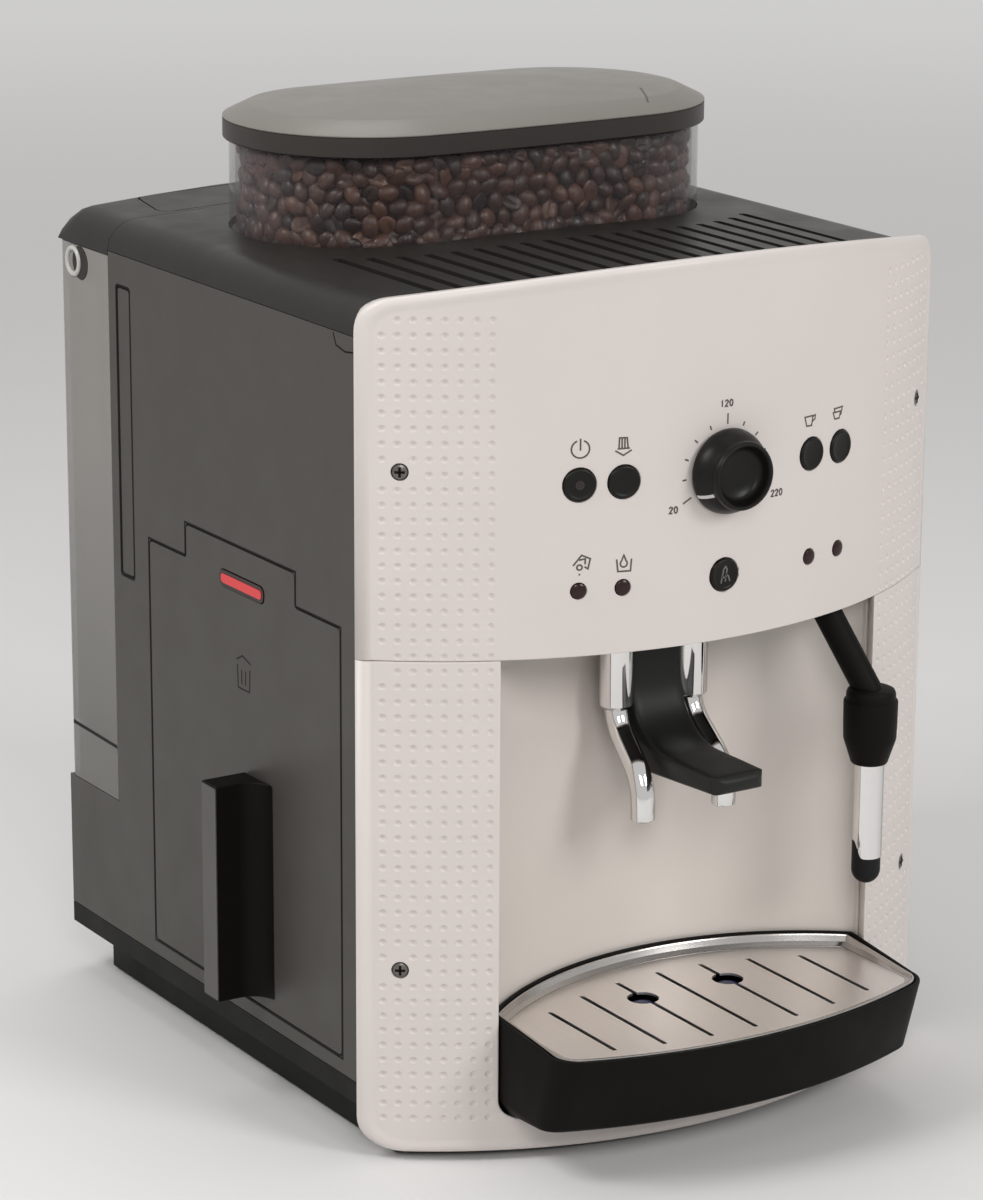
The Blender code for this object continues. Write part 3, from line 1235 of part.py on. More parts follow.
def throat_ring(radius, z):
    """A circle with a point for each point of the hopper's outline."""
    ring = []
    for x, y in hopper_outline(0):
        angle = math.atan2((y - HOPPER_Y) / HOPPER_WIDTH, x / HOPPER_LENGTH)
        ring.append((radius * math.cos(angle), HOPPER_Y + radius * math.sin(angle), z))
    return ring


def make_hopper(finish):
    foot_z = COVER_PEAK_Z - HOPPER_DROP
    neck_z = THROAT_Z + DIAL_RISE
    outer, inner = HOPPER_THROAT_RADIUS + HOPPER_WALL, HOPPER_THROAT_RADIUS
    rings = [hopper_ring(0, HOPPER_TOP_Z), hopper_ring(0, foot_z),
             throat_ring(outer, neck_z - HOPPER_WALL), throat_ring(outer, THROAT_Z),
             throat_ring(inner, THROAT_Z), throat_ring(inner, neck_z),
             hopper_ring(-HOPPER_WALL, foot_z + HOPPER_WALL),
             hopper_ring(-HOPPER_WALL, HOPPER_TOP_Z)]
    loft("hopper", rings, finish["clear"], True)
    base = HOPPER_TOP_Z + CLEARANCE
    rim = base + LID_RIM_HEIGHT
    bevel = rim + LID_BEVEL_HEIGHT
    inset = LID_BEVEL_WIDTH - LID_OVERHANG
    dome = [(LID_OVERHANG, base), (LID_OVERHANG, rim - LID_EASE),
            (LID_OVERHANG - LID_EASE, rim), (-inset, bevel)]
    deepest = HOPPER_WIDTH / 2 * LID_FLAT_SHARE
    for step in range(1, DOME_STEPS + 1):
        share = step / DOME_STEPS
        dome.append((-inset - (deepest - inset) * share, bevel + LID_DOME * (1 - (1 - share) ** 2)))
    under = [(grow, z - LID_SKIN) for grow, z in dome[:2:-1]]
    lip = -HOPPER_WALL - LID_SKIN
    under += [(lip, rim - LID_SKIN), (lip, base)]
    rings = [hopper_ring(grow, z) for grow, z in dome[::-1] + under[::-1]]
    lid = loft("hopper_lid", rings, finish["silver"])
    joint("lid_lift", (0, HOPPER_Y, base), lid)


def make_grinder(finish):
    place = at(0, HOPPER_Y, 0)
    dial_top = THROAT_Z + DIAL_RISE
    low = RING_Z + CLEARANCE
    ring = [(DIAL_BORE, low), (DIAL_RADIUS - SLIDE_GAP, low), (DIAL_RADIUS - SLIDE_GAP, THROAT_Z),
            (DIAL_RADIUS, THROAT_Z), (DIAL_RADIUS, dial_top - SLIDE_GAP),
            (DIAL_RADIUS - SLIDE_GAP, dial_top), (DIAL_BORE + HOPPER_WALL, dial_top),
            (DIAL_BORE, dial_top - HOPPER_WALL)]
    dial = turned("grind_dial", ring, place, ROUND_STEPS, finish["black"], True)
    ribs = []
    for i in range(DIAL_RIBS):
        angle = 2 * math.pi * i / DIAL_RIBS
        spot = place @ Matrix.Rotation(angle, 4, "Z") @ Matrix.Translation((DIAL_RADIUS, 0, 0))
        ribs.append(rod("rib", DIAL_RIB_DEPTH, THROAT_Z + DIAL_RIB_DEPTH, dial_top + OVERRUN, spot,
                        SMALL_ROUND_STEPS // 2))
    cut(dial, *ribs)
    joint("grind_adjust", (0, HOPPER_Y, THROAT_Z), dial)
    outer = [(GRINDER_RADIUS, GRINDER_Z), (GRINDER_RADIUS, GRINDER_TOP_Z),
             (DIAL_RADIUS, GRINDER_TOP_Z), (DIAL_RADIUS, RING_Z),
             (ROTOR_SHAFT_RADIUS + SLIDE_GAP, RING_Z), (ROTOR_SHAFT_RADIUS + SLIDE_GAP, GRINDER_Z)]
    turned("grinder_housing", outer, place, ROUND_STEPS, finish["metal"], True)
    burr_z = RING_Z + SLIDE_GAP
    rings = []
    for step in range(TWIST_STEPS + 1):
        share = step / TWIST_STEPS
        radius = BURR_RADIUS + (BURR_TOP_RADIUS - BURR_RADIUS) * share
        depth = BURR_FLUTE_DEPTH * (1 - share / 2)
        ring = []
        count = BURR_FLUTES * FLUTE_STEPS
        for i in range(count):
            angle = 2 * math.pi * i / count + math.radians(BURR_TWIST) * share
            reach = radius - depth * (i % FLUTE_STEPS) / (FLUTE_STEPS - 1)
            ring.append((reach * math.cos(angle), HOPPER_Y + reach * math.sin(angle),
                         burr_z + BURR_HEIGHT * share))
        rings.append(ring)
    burr = loft("grinder_burr", rings, finish["steel"])
    motor_top = GRINDER_Z - CLEARANCE
    shaft = rod("rotor_shaft", ROTOR_SHAFT_RADIUS, motor_top - ROTOR_SHAFT_GRIP,
                burr_z + BURR_HEIGHT / 2, place, SMALL_ROUND_STEPS)
    add(burr, shaft)
    joint("grinder_turn", (0, HOPPER_Y, burr_z), burr)
    bore = motor_top - ROTOR_SHAFT_GRIP - CLEARANCE
    shell = [(MOTOR_RADIUS, MOTOR_Z), (MOTOR_RADIUS, motor_top - MOTOR_RADIUS / 4),
             (MOTOR_RADIUS * MOTOR_NECK_SHARE, motor_top - MOTOR_RADIUS / 4),
             (MOTOR_RADIUS * MOTOR_NECK_SHARE, motor_top),
             (ROTOR_SHAFT_RADIUS + CLEARANCE, motor_top), (ROTOR_SHAFT_RADIUS + CLEARANCE, bore)]
    turned("grinder_motor", shell, place, ROUND_STEPS, finish["metal"])


# Water tank


def tank_ring(inset, z):
    """Plan of the tank: a straight front and a bowed back with round corners."""
    back = bowed_edge(SIDE_X - inset, REAR_Y + REAR_BOW - inset, REAR_RADIUS - inset,
                      TANK_CORNER - inset, 1, CORNER_STEPS, 2 * FEW_STEPS)
    front = TANK_FRONT_Y + inset
    half = SIDE_X - inset
    return [(x, y, z) for x, y in back + [(-half, front), (half, front)]]


def cap_rows(inset, low_z):
    """Rows of points, side to side, each from the cap's front to its rounded back edge."""
    rows = []
    for x, z in crown_profile(inset, low_z, FEW_STEPS + 2):
        back = rear_y(x, inset)
        start = back - CAP_REAR_ROUND + inset
        row = [(x, TANK_FRONT_Y, z)]
        for k in range(CORNER_STEPS + 2):
            angle = math.radians(90 * k / (CORNER_STEPS + 1))
            row.append((x, start + (back - start) * math.sin(angle),
                        low_z + (z - low_z) * math.cos(angle)))
        rows.append(row)
    return rows


def flap_outline(grow):
    """Plan of the fill flap, narrower at its back, with round corners."""
    half = FLAP_WIDTH / 2 + grow
    front = TANK_FRONT_Y + FLAP_FRONT_GAP - grow
    back = TANK_FRONT_Y + FLAP_FRONT_GAP + FLAP_DEPTH + grow
    corners = [(-half, front), (half, front), (half - FLAP_TAPER, back), (FLAP_TAPER - half, back)]
    return round_corners(corners, FLAP_CORNER + grow)


def make_tank(finish):
    floor_z = TANK_FOOT_Z + TANK_FLOOR_RISE
    pin_y = TANK_FRONT_Y + TANK_DEPTH * PIN_BACK_SHARE
    pin_z = TANK_RIM_Z - PIN_DROP
    rings = [tank_ring(TANK_WALL, floor_z - TANK_WALL), tank_ring(TANK_WALL, TANK_FOOT_Z),
             tank_ring(0, TANK_FOOT_Z), tank_ring(0, TANK_RIM_Z), tank_ring(TANK_WALL, TANK_RIM_Z),
             tank_ring(TANK_WALL, floor_z)]
    tank = loft("tank", rings, finish["tank"])
    valve_x = SIDE_X * VALVE_SHARE
    valve_y = TANK_FRONT_Y + TANK_DEPTH / 2
    outlet = rod("tank_outlet", VALVE_NIPPLE_RADIUS + SLIDE_GAP, floor_z - OVERRUN,
                 floor_z + OVERRUN, at(valve_x, valve_y, 0), SMALL_ROUND_STEPS)
    wall_x = SIDE_X - TANK_WALL
    pin_holes = [rod("pin_hole", PIN_RADIUS + CLEARANCE, -OVERRUN, TANK_WALL + OVERRUN,
                     along_x(x, pin_y, pin_z)) for x in (-SIDE_X, wall_x)]
    cut(tank, outlet, *pin_holes)
    low = TANK_RIM_Z + CLEARANCE
    cap = skin("tank_cap", cap_rows(0, low), cap_rows(COVER_THICKNESS, low), finish["black"])
    cut(cap, prism("fill_opening", flap_outline(SLIDE_GAP), low, COVER_PEAK_Z + OVERRUN))
    outer = wall_x - SLIDE_GAP
    ear_top = COVER_Z + SHOULDER_HEIGHT * EAR_RISE_SHARE
    for side in (-1, 1):
        ends = sorted((side * (outer - EAR_THICKNESS), side * outer))
        add(cap, box("ear", (ends[0], pin_y - EAR_WIDTH / 2, pin_z - EAR_WIDTH / 2),
                     (ends[1], pin_y + EAR_WIDTH / 2, ear_top)))
        ends = sorted((side * (outer - EAR_THICKNESS / 2), side * SIDE_X))
        add(cap, rod("pin", PIN_RADIUS, 0, ends[1] - ends[0], along_x(ends[0], pin_y, pin_z)))
    flap = skin("tank_flap", cap_rows(0, low), cap_rows(COVER_THICKNESS, low), finish["black"])
    keep_common(flap, prism("flap_outline", flap_outline(0), COVER_Z, COVER_PEAK_Z + OVERRUN))
    flap_joint = joint("flap_turn", (0, TANK_FRONT_Y + FLAP_FRONT_GAP + FLAP_DEPTH, COVER_PEAK_Z),
                       flap)
    tank_joint = joint("tank_lift", (0, TANK_FRONT_Y + TANK_DEPTH / 2, TANK_FOOT_Z), tank, cap,
                       flap_joint)
    flap_joint.matrix_parent_inverse = Matrix.Translation(tank_joint.location).inverted()
    foot = SHELF_Z + CLEARANCE
    valve = [(VALVE_RADIUS, foot), (VALVE_RADIUS, foot + VALVE_HEIGHT),
             (VALVE_NIPPLE_RADIUS, foot + VALVE_HEIGHT), (VALVE_NIPPLE_RADIUS, floor_z)]
    turned("tank_valve", valve, at(valve_x, valve_y, 0), ROUND_STEPS, finish["black"])


# Grounds drawer


def make_drawer(finish):
    door = prism("drawer_front", drawer_outline(DOOR_GAP), -SIDE_X, DOOR_THICKNESS - SIDE_X, "x",
                 finish["grey"])
    step_front = FRONT_Y + DRAWER_STEP_FRONT
    step = DRAWER_BACK - DRAWER_STEP_BACK_GAP - DRAWER_STEP_FRONT
    low_y, high_y = step_front + step * WINDOW_START_SHARE, step_front + step * WINDOW_END_SHARE
    low_z, high_z = WINDOW_Z - WINDOW_HEIGHT / 2, WINDOW_Z + WINDOW_HEIGHT / 2
    gap = CLEARANCE
    pill = WINDOW_HEIGHT / 2 - CLEARANCE
    hole = rounded_box(low_y - gap, low_z - gap, high_y + gap, high_z + gap, pill)
    cut(door, prism("window_hole", hole, -SIDE_X - OVERRUN, DOOR_THICKNESS + OVERRUN - SIDE_X, "x"))
    window = prism("drawer_window", rounded_box(low_y, low_z, high_y, high_z, pill),
                   -SIDE_X - WINDOW_STAND_OUT, DOOR_THICKNESS - SIDE_X, "x", finish["red"])
    foot, tip = -SIDE_X - CLEARANCE, -SIDE_X - HANDLE_STAND_OUT
    front, back = FRONT_Y + HANDLE_FRONT, FRONT_Y + HANDLE_BACK
    plan = [(foot, back), (tip, back), (tip, front)]
    plan += arc((foot - HANDLE_FLARE, front - HANDLE_FLARE), HANDLE_FLARE, 90, 0, 2 * CORNER_STEPS)
    handle = prism("drawer_handle", plan, HANDLE_BOTTOM_Z, HANDLE_TOP_Z, "z", finish["black"])
    front, back = FRONT_Y + DRAWER_FRONT + BIN_MARGIN, FRONT_Y + DRAWER_BACK - BIN_MARGIN
    high = DRAWER_TOP_Z - BIN_TOP_DROP
    end = DRAWER_X + BIN_REACH

    def bin_ring(inset, z):
        plan = rounded_box(DRAWER_X + inset, front + inset, end - inset, back - inset,
                           BIN_CORNER - inset)
        return [(x, y, z) for x, y in plan]
    rings = [bin_ring(0, BIN_Z), bin_ring(0, high), bin_ring(BIN_WALL, high),
             bin_ring(BIN_WALL, BIN_Z + BIN_WALL)]
    grounds_bin = loft("grounds_bin", rings, finish["black"])
    joint("drawer_pull", (-SIDE_X, (front + back) / 2, BIN_Z), door, window, handle, grounds_bin)


# Inside


def make_frame(finish):
    """Partition beside the grounds bin, deck above it and rails below it, in one piece."""
    front, back = FRONT_Y + FRAME_FRONT, HOUSING_BACK_Y - WALL - CLEARANCE
    wall = box("inner_frame", (FRAME_X, front, SIDE_Z),
               (FRAME_X + FRAME_THICKNESS, back, DECK_Z + FRAME_THICKNESS / 2), finish["metal"])
    half = -DRAWER_X
    add(wall, box("deck", (-half, front, DECK_Z), (half, back, DECK_Z + FRAME_THICKNESS)))
    inside = FRAME_X + FRAME_THICKNESS / 2
    for y in (FRONT_Y + DRAWER_FRONT + 2 * BIN_MARGIN, FRONT_Y + DRAWER_BACK - 3 * BIN_MARGIN):
        add(wall, box("rail", (-half, y, SIDE_Z), (inside, y + RAIL_WIDTH, BIN_Z - CLEARANCE)))


def make_brew_group(finish):
    place = at(BREW_X, FRONT_Y + BREW_BACK, 0)
    bore_z = BREW_TOP_Z - BREW_HEIGHT * BREW_BORE_SHARE
    body = [(BREW_RADIUS, SIDE_Z), (BREW_RADIUS, BREW_TOP_Z), (BREW_BORE_RADIUS, BREW_TOP_Z),
            (BREW_BORE_RADIUS, bore_z)]
    turned("brew_housing", body, place, ROUND_STEPS, finish["black"])
    height = BREW_HEIGHT * PISTON_SHARE
    low = BREW_TOP_Z - BREW_HEIGHT * PISTON_SINK_SHARE
    radius = BREW_BORE_RADIUS - SLIDE_GAP
    rod_top = BREW_TOP_Z + height * PISTON_ROD_RISE_SHARE
    shoulder = low + height * PISTON_HEAD_SHARE
    profile = [(radius, low), (radius, shoulder), (PISTON_ROD_RADIUS, shoulder),
               (PISTON_ROD_RADIUS, rod_top)]
    piston = turned("brew_piston", profile, place, ROUND_STEPS, finish["metal"])
    joint("brew_press", (BREW_X, FRONT_Y + BREW_BACK, low), piston)


def make_heater_and_pump(finish):
    high_x = SIDE_X - WALL - HEATER_SIDE_GAP
    low_x = high_x - HEATER_WIDTH
    front = FRONT_Y + HEATER_FRONT
    back = PUMP_Y - PUMP_LENGTH / 2 - PUMP_NECK_LENGTH - HEATER_BACK_GAP
    top = SIDE_Z + HEATER_HEIGHT
    heater = box("heater", (low_x, front, SIDE_Z), (high_x, back, top),
                 finish["metal"])
    pitch = (back - front) / HEATER_FINS
    slots = []
    for i in range(HEATER_FINS):
        near, far = front + pitch * (i + FIN_START_SHARE), front + pitch * (i + FIN_END_SHARE)
        slots.append(box("fin_gap", (low_x - OVERRUN, near, top - HEATER_FIN_DEPTH),
                         (high_x + OVERRUN, far, top + OVERRUN)))
    cut(heater, *slots)
    x = (low_x + high_x) / 2
    middle, z = PUMP_Y, SIDE_Z + PUMP_RADIUS + PUMP_LIFT
    half = PUMP_LENGTH / 2
    profile = [(PUMP_NECK_RADIUS, -half - PUMP_NECK_LENGTH), (PUMP_NECK_RADIUS, -half),
               (PUMP_RADIUS, -half), (PUMP_RADIUS, half), (PUMP_NECK_RADIUS, half),
               (PUMP_NECK_RADIUS, half + PUMP_NECK_LENGTH)]
    pump = turned("pump", profile, along_y(x, middle, z), ROUND_STEPS, finish["metal"])
    add(pump, box("saddle", (x - PUMP_SADDLE_WIDTH / 2, middle - PUMP_SADDLE_LENGTH / 2, SIDE_Z),
                  (x + PUMP_SADDLE_WIDTH / 2, middle + PUMP_SADDLE_LENGTH / 2, z)))


def main():
    clear_scene()
    finish = make_materials()
    make_base(finish)
    make_side_panel("left_panel", -1, finish)
    make_side_panel("right_panel", 1, finish)
    make_rear_housing(finish)
    make_top_cover(finish)
    make_control_panel(finish)
    make_lower_facade(finish)
    make_screws(finish)
    make_niche(finish)
    make_drip_tray(finish)
    make_outlet(finish)
    make_wand(finish)
    make_controls(finish)
    make_hopper(finish)
    make_grinder(finish)
    make_tank(finish)
    make_drawer(finish)
    make_frame(finish)
    make_brew_group(finish)
    make_heater_and_pump(finish)


main()
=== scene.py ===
"""Looks of the bean to cup coffee machine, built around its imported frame.

Metres, +Z up, X to the right as seen from the front, Y to the back.
"""
import json
import math
import random

import bmesh
import bpy
from mathutils import Matrix, Vector
from mathutils.bvhtree import BVHTree
from mathutils.geometry import delaunay_2d_cdt
from mathutils.kdtree import KDTree


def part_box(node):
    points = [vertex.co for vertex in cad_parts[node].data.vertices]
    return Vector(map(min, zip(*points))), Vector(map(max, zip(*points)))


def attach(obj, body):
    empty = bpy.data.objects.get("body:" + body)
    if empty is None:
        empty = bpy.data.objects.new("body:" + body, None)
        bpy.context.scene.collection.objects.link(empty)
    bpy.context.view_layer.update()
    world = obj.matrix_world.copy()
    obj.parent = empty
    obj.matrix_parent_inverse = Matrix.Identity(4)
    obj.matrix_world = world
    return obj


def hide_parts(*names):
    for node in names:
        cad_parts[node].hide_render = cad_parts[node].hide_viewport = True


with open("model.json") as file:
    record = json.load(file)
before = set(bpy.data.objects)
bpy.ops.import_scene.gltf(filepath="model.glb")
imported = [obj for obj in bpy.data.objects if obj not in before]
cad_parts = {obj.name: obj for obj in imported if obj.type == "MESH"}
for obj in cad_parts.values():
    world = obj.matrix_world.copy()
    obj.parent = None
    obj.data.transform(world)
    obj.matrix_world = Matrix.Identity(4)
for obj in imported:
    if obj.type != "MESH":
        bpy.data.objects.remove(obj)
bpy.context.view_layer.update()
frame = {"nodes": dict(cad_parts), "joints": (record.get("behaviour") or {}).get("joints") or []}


def mm(*rows):
    """Rows of lengths in millimetres as rows in metres."""
    return [tuple(v / 1000 for v in row) for row in rows]


# Camera, as fitted to the photograph
CAMERA_PLACE = (-0.798958, -1.267920, 0.581440)
CAMERA_YAW = 0.564388
CAMERA_PITCH = 0.273087
CAMERA_ROLL = 0.005254
CAMERA_LENS = 121.80
CAMERA_SENSOR = 36.0

# Facets
FINE = 64
ROUND = 40
CORNER = 8
BOW = 48
TINY = 1e-6

# Facade
CLEARANCE = 0.0003
SLIDE_GAP = 0.0006
FACADE_BOW = 0.0445
FACADE_THICKNESS = 0.003
FACADE_RETURN = 0.0013
FACADE_ARCH_RADIUS = 0.643
FACADE_TOP_CORNER = 0.012
FACADE_BOTTOM_CORNER = 0.013
EDGE_WIDTH = 0.0052
EDGE_ROUND = 0.6
BEAD = ((0, 0.0009), (0.03, 0.00045), (0.1, 0.00005), (0.2, -0.00028), (0.36, -0.0005),
        (0.55, -0.00045), (0.78, -0.00017), (1, 0))
SEAM_EASE = 0.0006
SEAM_LIFT = 0.0004
OPENING_EASE = 0.0009
MITER_MIN = 0.3
DIMPLE_RADIUS = 0.00142
DIMPLE_DEPTH = 0.00075
DIMPLE_SECTION = ((0.86, 0.10), (0.62, 0.50), (0.34, 0.88), (0.12, 1.0))
DIMPLE_POINTS = 12
DIMPLE_FILL = 0.98
DIMPLE_COLUMNS = 8
DIMPLE_FIRST_ANGLE = 26.04
DIMPLE_ANGLE_PITCH = 1.606
DIMPLE_HIGH_ROWS = 23
DIMPLE_HIGH_START = 0.0017
DIMPLE_HIGH_PITCH = 0.00535
DIMPLE_LOW_ROWS = 31
DIMPLE_LOW_START = 0.0035
DIMPLE_LOW_PITCH = 0.0055
DIMPLE_SCREW_GAP = 0.0052
SHEET_PITCH = 0.0045
SHEET_GAP = 0.0015
HOLE_EASE = 0.00025
SCREW_INSET = 0.0118
SCREW_LOW_Z = 0.072
SCREW_HIGH_Z = 0.2519
SCREW_RADIUS = 0.0028
SCREW_PROFILE = mm((2.6, -3), (2.8, -0.7), (2.6, -0.3), (2, 0), (1, 0.15), (0.3, 0.2))
# the cross is a dark band of painted shade where the recess would be
SCREW_CROSS = 0.0018
SCREW_CROSS_WIDTH = 0.0009
CONTROL_ROW_Z = 0.2461
LAMP_ROW_Z = 0.2086
BUTTONS = {"power": (-0.0554, CONTROL_ROW_Z), "rinse": (-0.0398, CONTROL_ROW_Z),
           "one_cup": (0.0398, CONTROL_ROW_Z), "two_cup": (0.0554, CONTROL_ROW_Z),
           "steam": (0, LAMP_ROW_Z)}
BUTTON_RADIUS = 0.00585
LENSES = {"lamp_outer_left": -0.0554, "lamp_inner_left": -0.0398, "lamp_outer_right": 0.0554,
          "lamp_inner_right": 0.0398}
LAMP_RADIUS = 0.0027
NICHE_HALF = 0.0805
NICHE_CORNER = 0.007
NICHE_SILL_Z = 0.0155
NICHE_SIDE_STEP = 0.00338
NICHE_REAR = 0.010

# Stage
FLOOR_REACH = 12.0
FLOOR_THICKNESS = 0.01
FLOOR_COLOUR = (0.80, 0.79, 0.78)
FLOOR_FADE = (0.7, 3.2)
BACKDROP_COLOUR = (0.62, 0.615, 0.61)
WORLD_LIGHT_COLOUR = (1.0, 1.0, 1.0)
WORLD_LIGHT = 0.35
LAMP_AIM = (0.0, 0.0, 0.16)
LAMPS = (("key", (0.90, -2.35, 1.45), 0.8, 23.0), ("fill", (-1.10, -2.20, 1.50), 0.8, 13.0),
         ("side", (-0.8, 0.05, 0.95), 0.45, 5.2), ("top", (0.2, 0.5, 2.2), 1.2, 10.0))

# Places worked out from the frame
panel_low, panel_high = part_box("control_panel")
lower_low, lower_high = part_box("lower_facade")
FACADE_HALF = panel_high.x
FACADE_FRONT_Y = panel_low.y
FRONT_Y = FACADE_FRONT_Y + FACADE_BOW
FACADE_RADIUS = (FACADE_HALF ** 2 + FACADE_BOW ** 2) / (2 * FACADE_BOW)
FACADE_CENTRE_Y = FACADE_FRONT_Y + FACADE_RADIUS
FACADE_PEAK_Z = panel_high.z
PANEL_EDGE_Z = panel_low.z
SEAM_Z = lower_high.z + SEAM_LIFT
BACK_SHARE = 1 - FACADE_THICKNESS / FACADE_RADIUS
SCREW_X = FACADE_HALF - SCREW_INSET


# Shapes


def facade_y(x, inset=0):
    """Y of the bowed facade at x, or of the surface that lies inset behind it."""
    return FACADE_CENTRE_Y - math.sqrt((FACADE_RADIUS - inset) ** 2 - x ** 2)


def linked(data, name):
    made = bpy.data.objects.new(name, data)
    bpy.context.scene.collection.objects.link(made)
    return made


def solid(name, vertices, faces, angle=35):
    """An object from points and faces, its normals outwards, shaded by angle."""
    shape = bmesh.new()
    points = [shape.verts.new(v) for v in vertices]
    for face in faces:
        try:
            shape.faces.new([points[i] for i in face])
        except ValueError:
            continue
    bmesh.ops.remove_doubles(shape, verts=shape.verts, dist=TINY)
    bmesh.ops.recalc_face_normals(shape, faces=shape.faces)
    mesh = bpy.data.meshes.new(name)
    shape.to_mesh(mesh)
    shape.free()
    mesh.shade_smooth()
    mesh.set_sharp_from_angle(angle=math.radians(angle))
    return linked(mesh, name)


def band(low, high):
    """Faces between two closed rows of point numbers."""
    return [(low[i - 1], low[i], high[i], high[i - 1]) for i in [*range(1, len(low)), 0]]


def bands(rows):
    """Faces between each row of point numbers and the next."""
    return [face for low, high in zip(rows, rows[1:]) for face in band(low, high)]


def loft(name, rings, closed=False, angle=35):
    """Walls through rings of equally many points, capped, or closed back on themselves."""
    count = len(rings[0])
    rows = [range(r * count, (r + 1) * count) for r in range(len(rings))]
    faces = bands(rows + rows[:closed])
    if not closed:
        faces += [tuple(rows[0])[::-1], tuple(rows[-1])]
    return solid(name, [point for ring in rings for point in ring], faces, angle)


def prism(name, outline, low, high, axis="z"):
    """A flat outline drawn out along z from (x, y), or along x from (y, z)."""
    return loft(name, [[(u, v, w) if axis == "z" else (w, u, v) for u, v in outline]
                       for w in (low, high)])


def around(steps):
    """Angles, in equal steps, once round a circle."""
    return [2 * math.pi * i / steps for i in range(steps)]


def turned(name, profile, place, steps=FINE, closed=False, angle=35):
    """A profile of (radius, height) turned about the local Z of a matrix."""
    return loft(name, [[place @ Vector((r * math.cos(t), r * math.sin(t), h))
                        for t in around(steps)] for r, h in profile], closed, angle)


def sweep(name, path, radii, bore=None):
    """A round tube along 3-D points, its section carried along without twist.

    A bore is a radius and a depth, sunk into the tube's last end.
    """
    points = [Vector(p) for p in path]
    tangents = [(after - before).normalized()
                for before, after in zip(points[:1] + points, points[1:] + points[-1:])]
    side = tangents[0].orthogonal().normalized()
    spots = list(zip(points, tangents, radii))
    if bore:
        spots += [(points[-1] - tangents[-1] * depth, tangents[-1], bore[0])
                  for depth in (0, bore[1])]
    rings = []
    for point, tangent, radius in spots:
        side = (side - tangent * side.dot(tangent)).normalized()
        up = tangent.cross(side)
        rings.append([point + radius * (math.cos(t) * side + math.sin(t) * up)
                      for t in around(ROUND)])
    return loft(name, rings)


def arc(centre, radius, start, end, steps=CORNER):
    """Points on a circle from start to end degrees, both ends kept."""
    turns = [math.radians(start + (end - start) * i / steps) for i in range(steps + 1)]
    return [(centre[0] + radius * math.cos(t), centre[1] + radius * math.sin(t)) for t in turns]


def bowed_edge(half, peak, radius, corner, sign, steps=CORNER, bow_steps=BOW):
    """A bowed edge with rounded corners, between side lines at -half and half."""
    side = half - corner
    rise = math.sqrt((radius - corner) ** 2 - side ** 2)
    tangent = math.degrees(math.atan2(rise, side))
    upper = arc((side, rise), corner, 0, tangent, steps)
    upper += arc((0, 0), radius, tangent, 180 - tangent, bow_steps)[1:-1]
    upper += arc((-side, rise), corner, 180 - tangent, 180, steps)
    points = [(u, peak - sign * radius + sign * v) for u, v in upper]
    return points if sign > 0 else points[::-1]


def pill(low_y, low_z, high_y, high_z, corner):
    """A (y, z) outline with rounded corners."""
    places = ((high_y - corner, high_z - corner), (low_y + corner, high_z - corner),
              (low_y + corner, low_z + corner), (high_y - corner, low_z + corner))
    return [p for k, place in enumerate(places) for p in arc(place, corner, 90 * k, 90 * k + 90)]


def side_normals(points, sign=1):
    """Normals to the left of each side of a closed outline, or to the right for -1."""
    normals = []
    for a, b in zip(points, points[1:] + points[:1]):
        along = (b - a).normalized() * sign
        normals.append(Vector((-along.y, along.x)))
    return normals


def miter(n1, r1, n2, r2):
    """Inward step at a corner, r1 and r2 away from its two edges."""
    cross = n1.x * n2.y - n1.y * n2.x
    if abs(cross) < MITER_MIN:
        middle = (n1 + n2).normalized()
        return middle * (r1 + r2) / 2 / middle.dot(n1)
    return Vector(((r1 * n2.y - r2 * n1.y) / cross, (n1.x * r2 - n2.x * r1) / cross))


def shrunk(points, amount):
    """A closed outline moved inwards."""
    area = sum(a.x * b.y - b.x * a.y for a, b in zip(points, points[1:] + points[:1]))
    normals = side_normals(points, 1 if area > 0 else -1)
    return [p + miter(normals[i - 1], amount, normals[i], amount) for i, p in enumerate(points)]


def rounded_path(points, radius, steps=CORNER):
    """An open 3-D path whose inner corners are rounded off by quadratic arcs."""
    corners = [Vector(p) for p in points]
    path = [corners[0]]
    for before, here, after in zip(corners, corners[1:], corners[2:]):
        start = here + (before - here).normalized() * radius
        end = here + (after - here).normalized() * radius
        path += [start.lerp(here, k / steps).lerp(here.lerp(end, k / steps), k / steps)
                 for k in range(steps + 1)]
    return path + corners[-1:]


def strokes(name, lines, width, low, high, place, pitch=0.001, tight=0.6):
    """One object of flat bands along 2-D lines, laid by place(u, v, w) from low to high."""
    vertices, faces = [], []
    for line in lines:
        points = [Vector(line[0])]
        for a, b in zip(line, line[1:]):
            a, b = Vector(a), Vector(b)
            count = max(1, math.ceil((b - a).length / pitch))
            points += [a.lerp(b, k / count) for k in range(1, count + 1)]
        closed = (points[0] - points[-1]).length < TINY
        if closed:
            points.pop()
        count, rows = len(points), []
        for i, point in enumerate(points):
            before = points[i - 1] if closed or i else point
            after = points[(i + 1) % count] if closed or i < count - 1 else point
            along = (after - before).normalized()
            step = (point - before).normalized()
            side = Vector((-along.y, along.x)) * width / 2
            side /= max(step.dot(along), tight) if step.length else 1
            rows.append(range(len(vertices), len(vertices) + 4))
            vertices += [place(spot.x, spot.y, w) for spot, w in (
                (point - side, low), (point - side, high), (point + side, high),
                (point + side, low))]
        faces += bands(rows + rows[:closed])
        if not closed:
            faces += [tuple(rows[0]), tuple(rows[-1])]
    return solid(name, vertices, faces)


def at(x, y, z):
    return Matrix.Translation((x, y, z))


def spin(angle, axis):
    return Matrix.Rotation(angle, 4, axis)


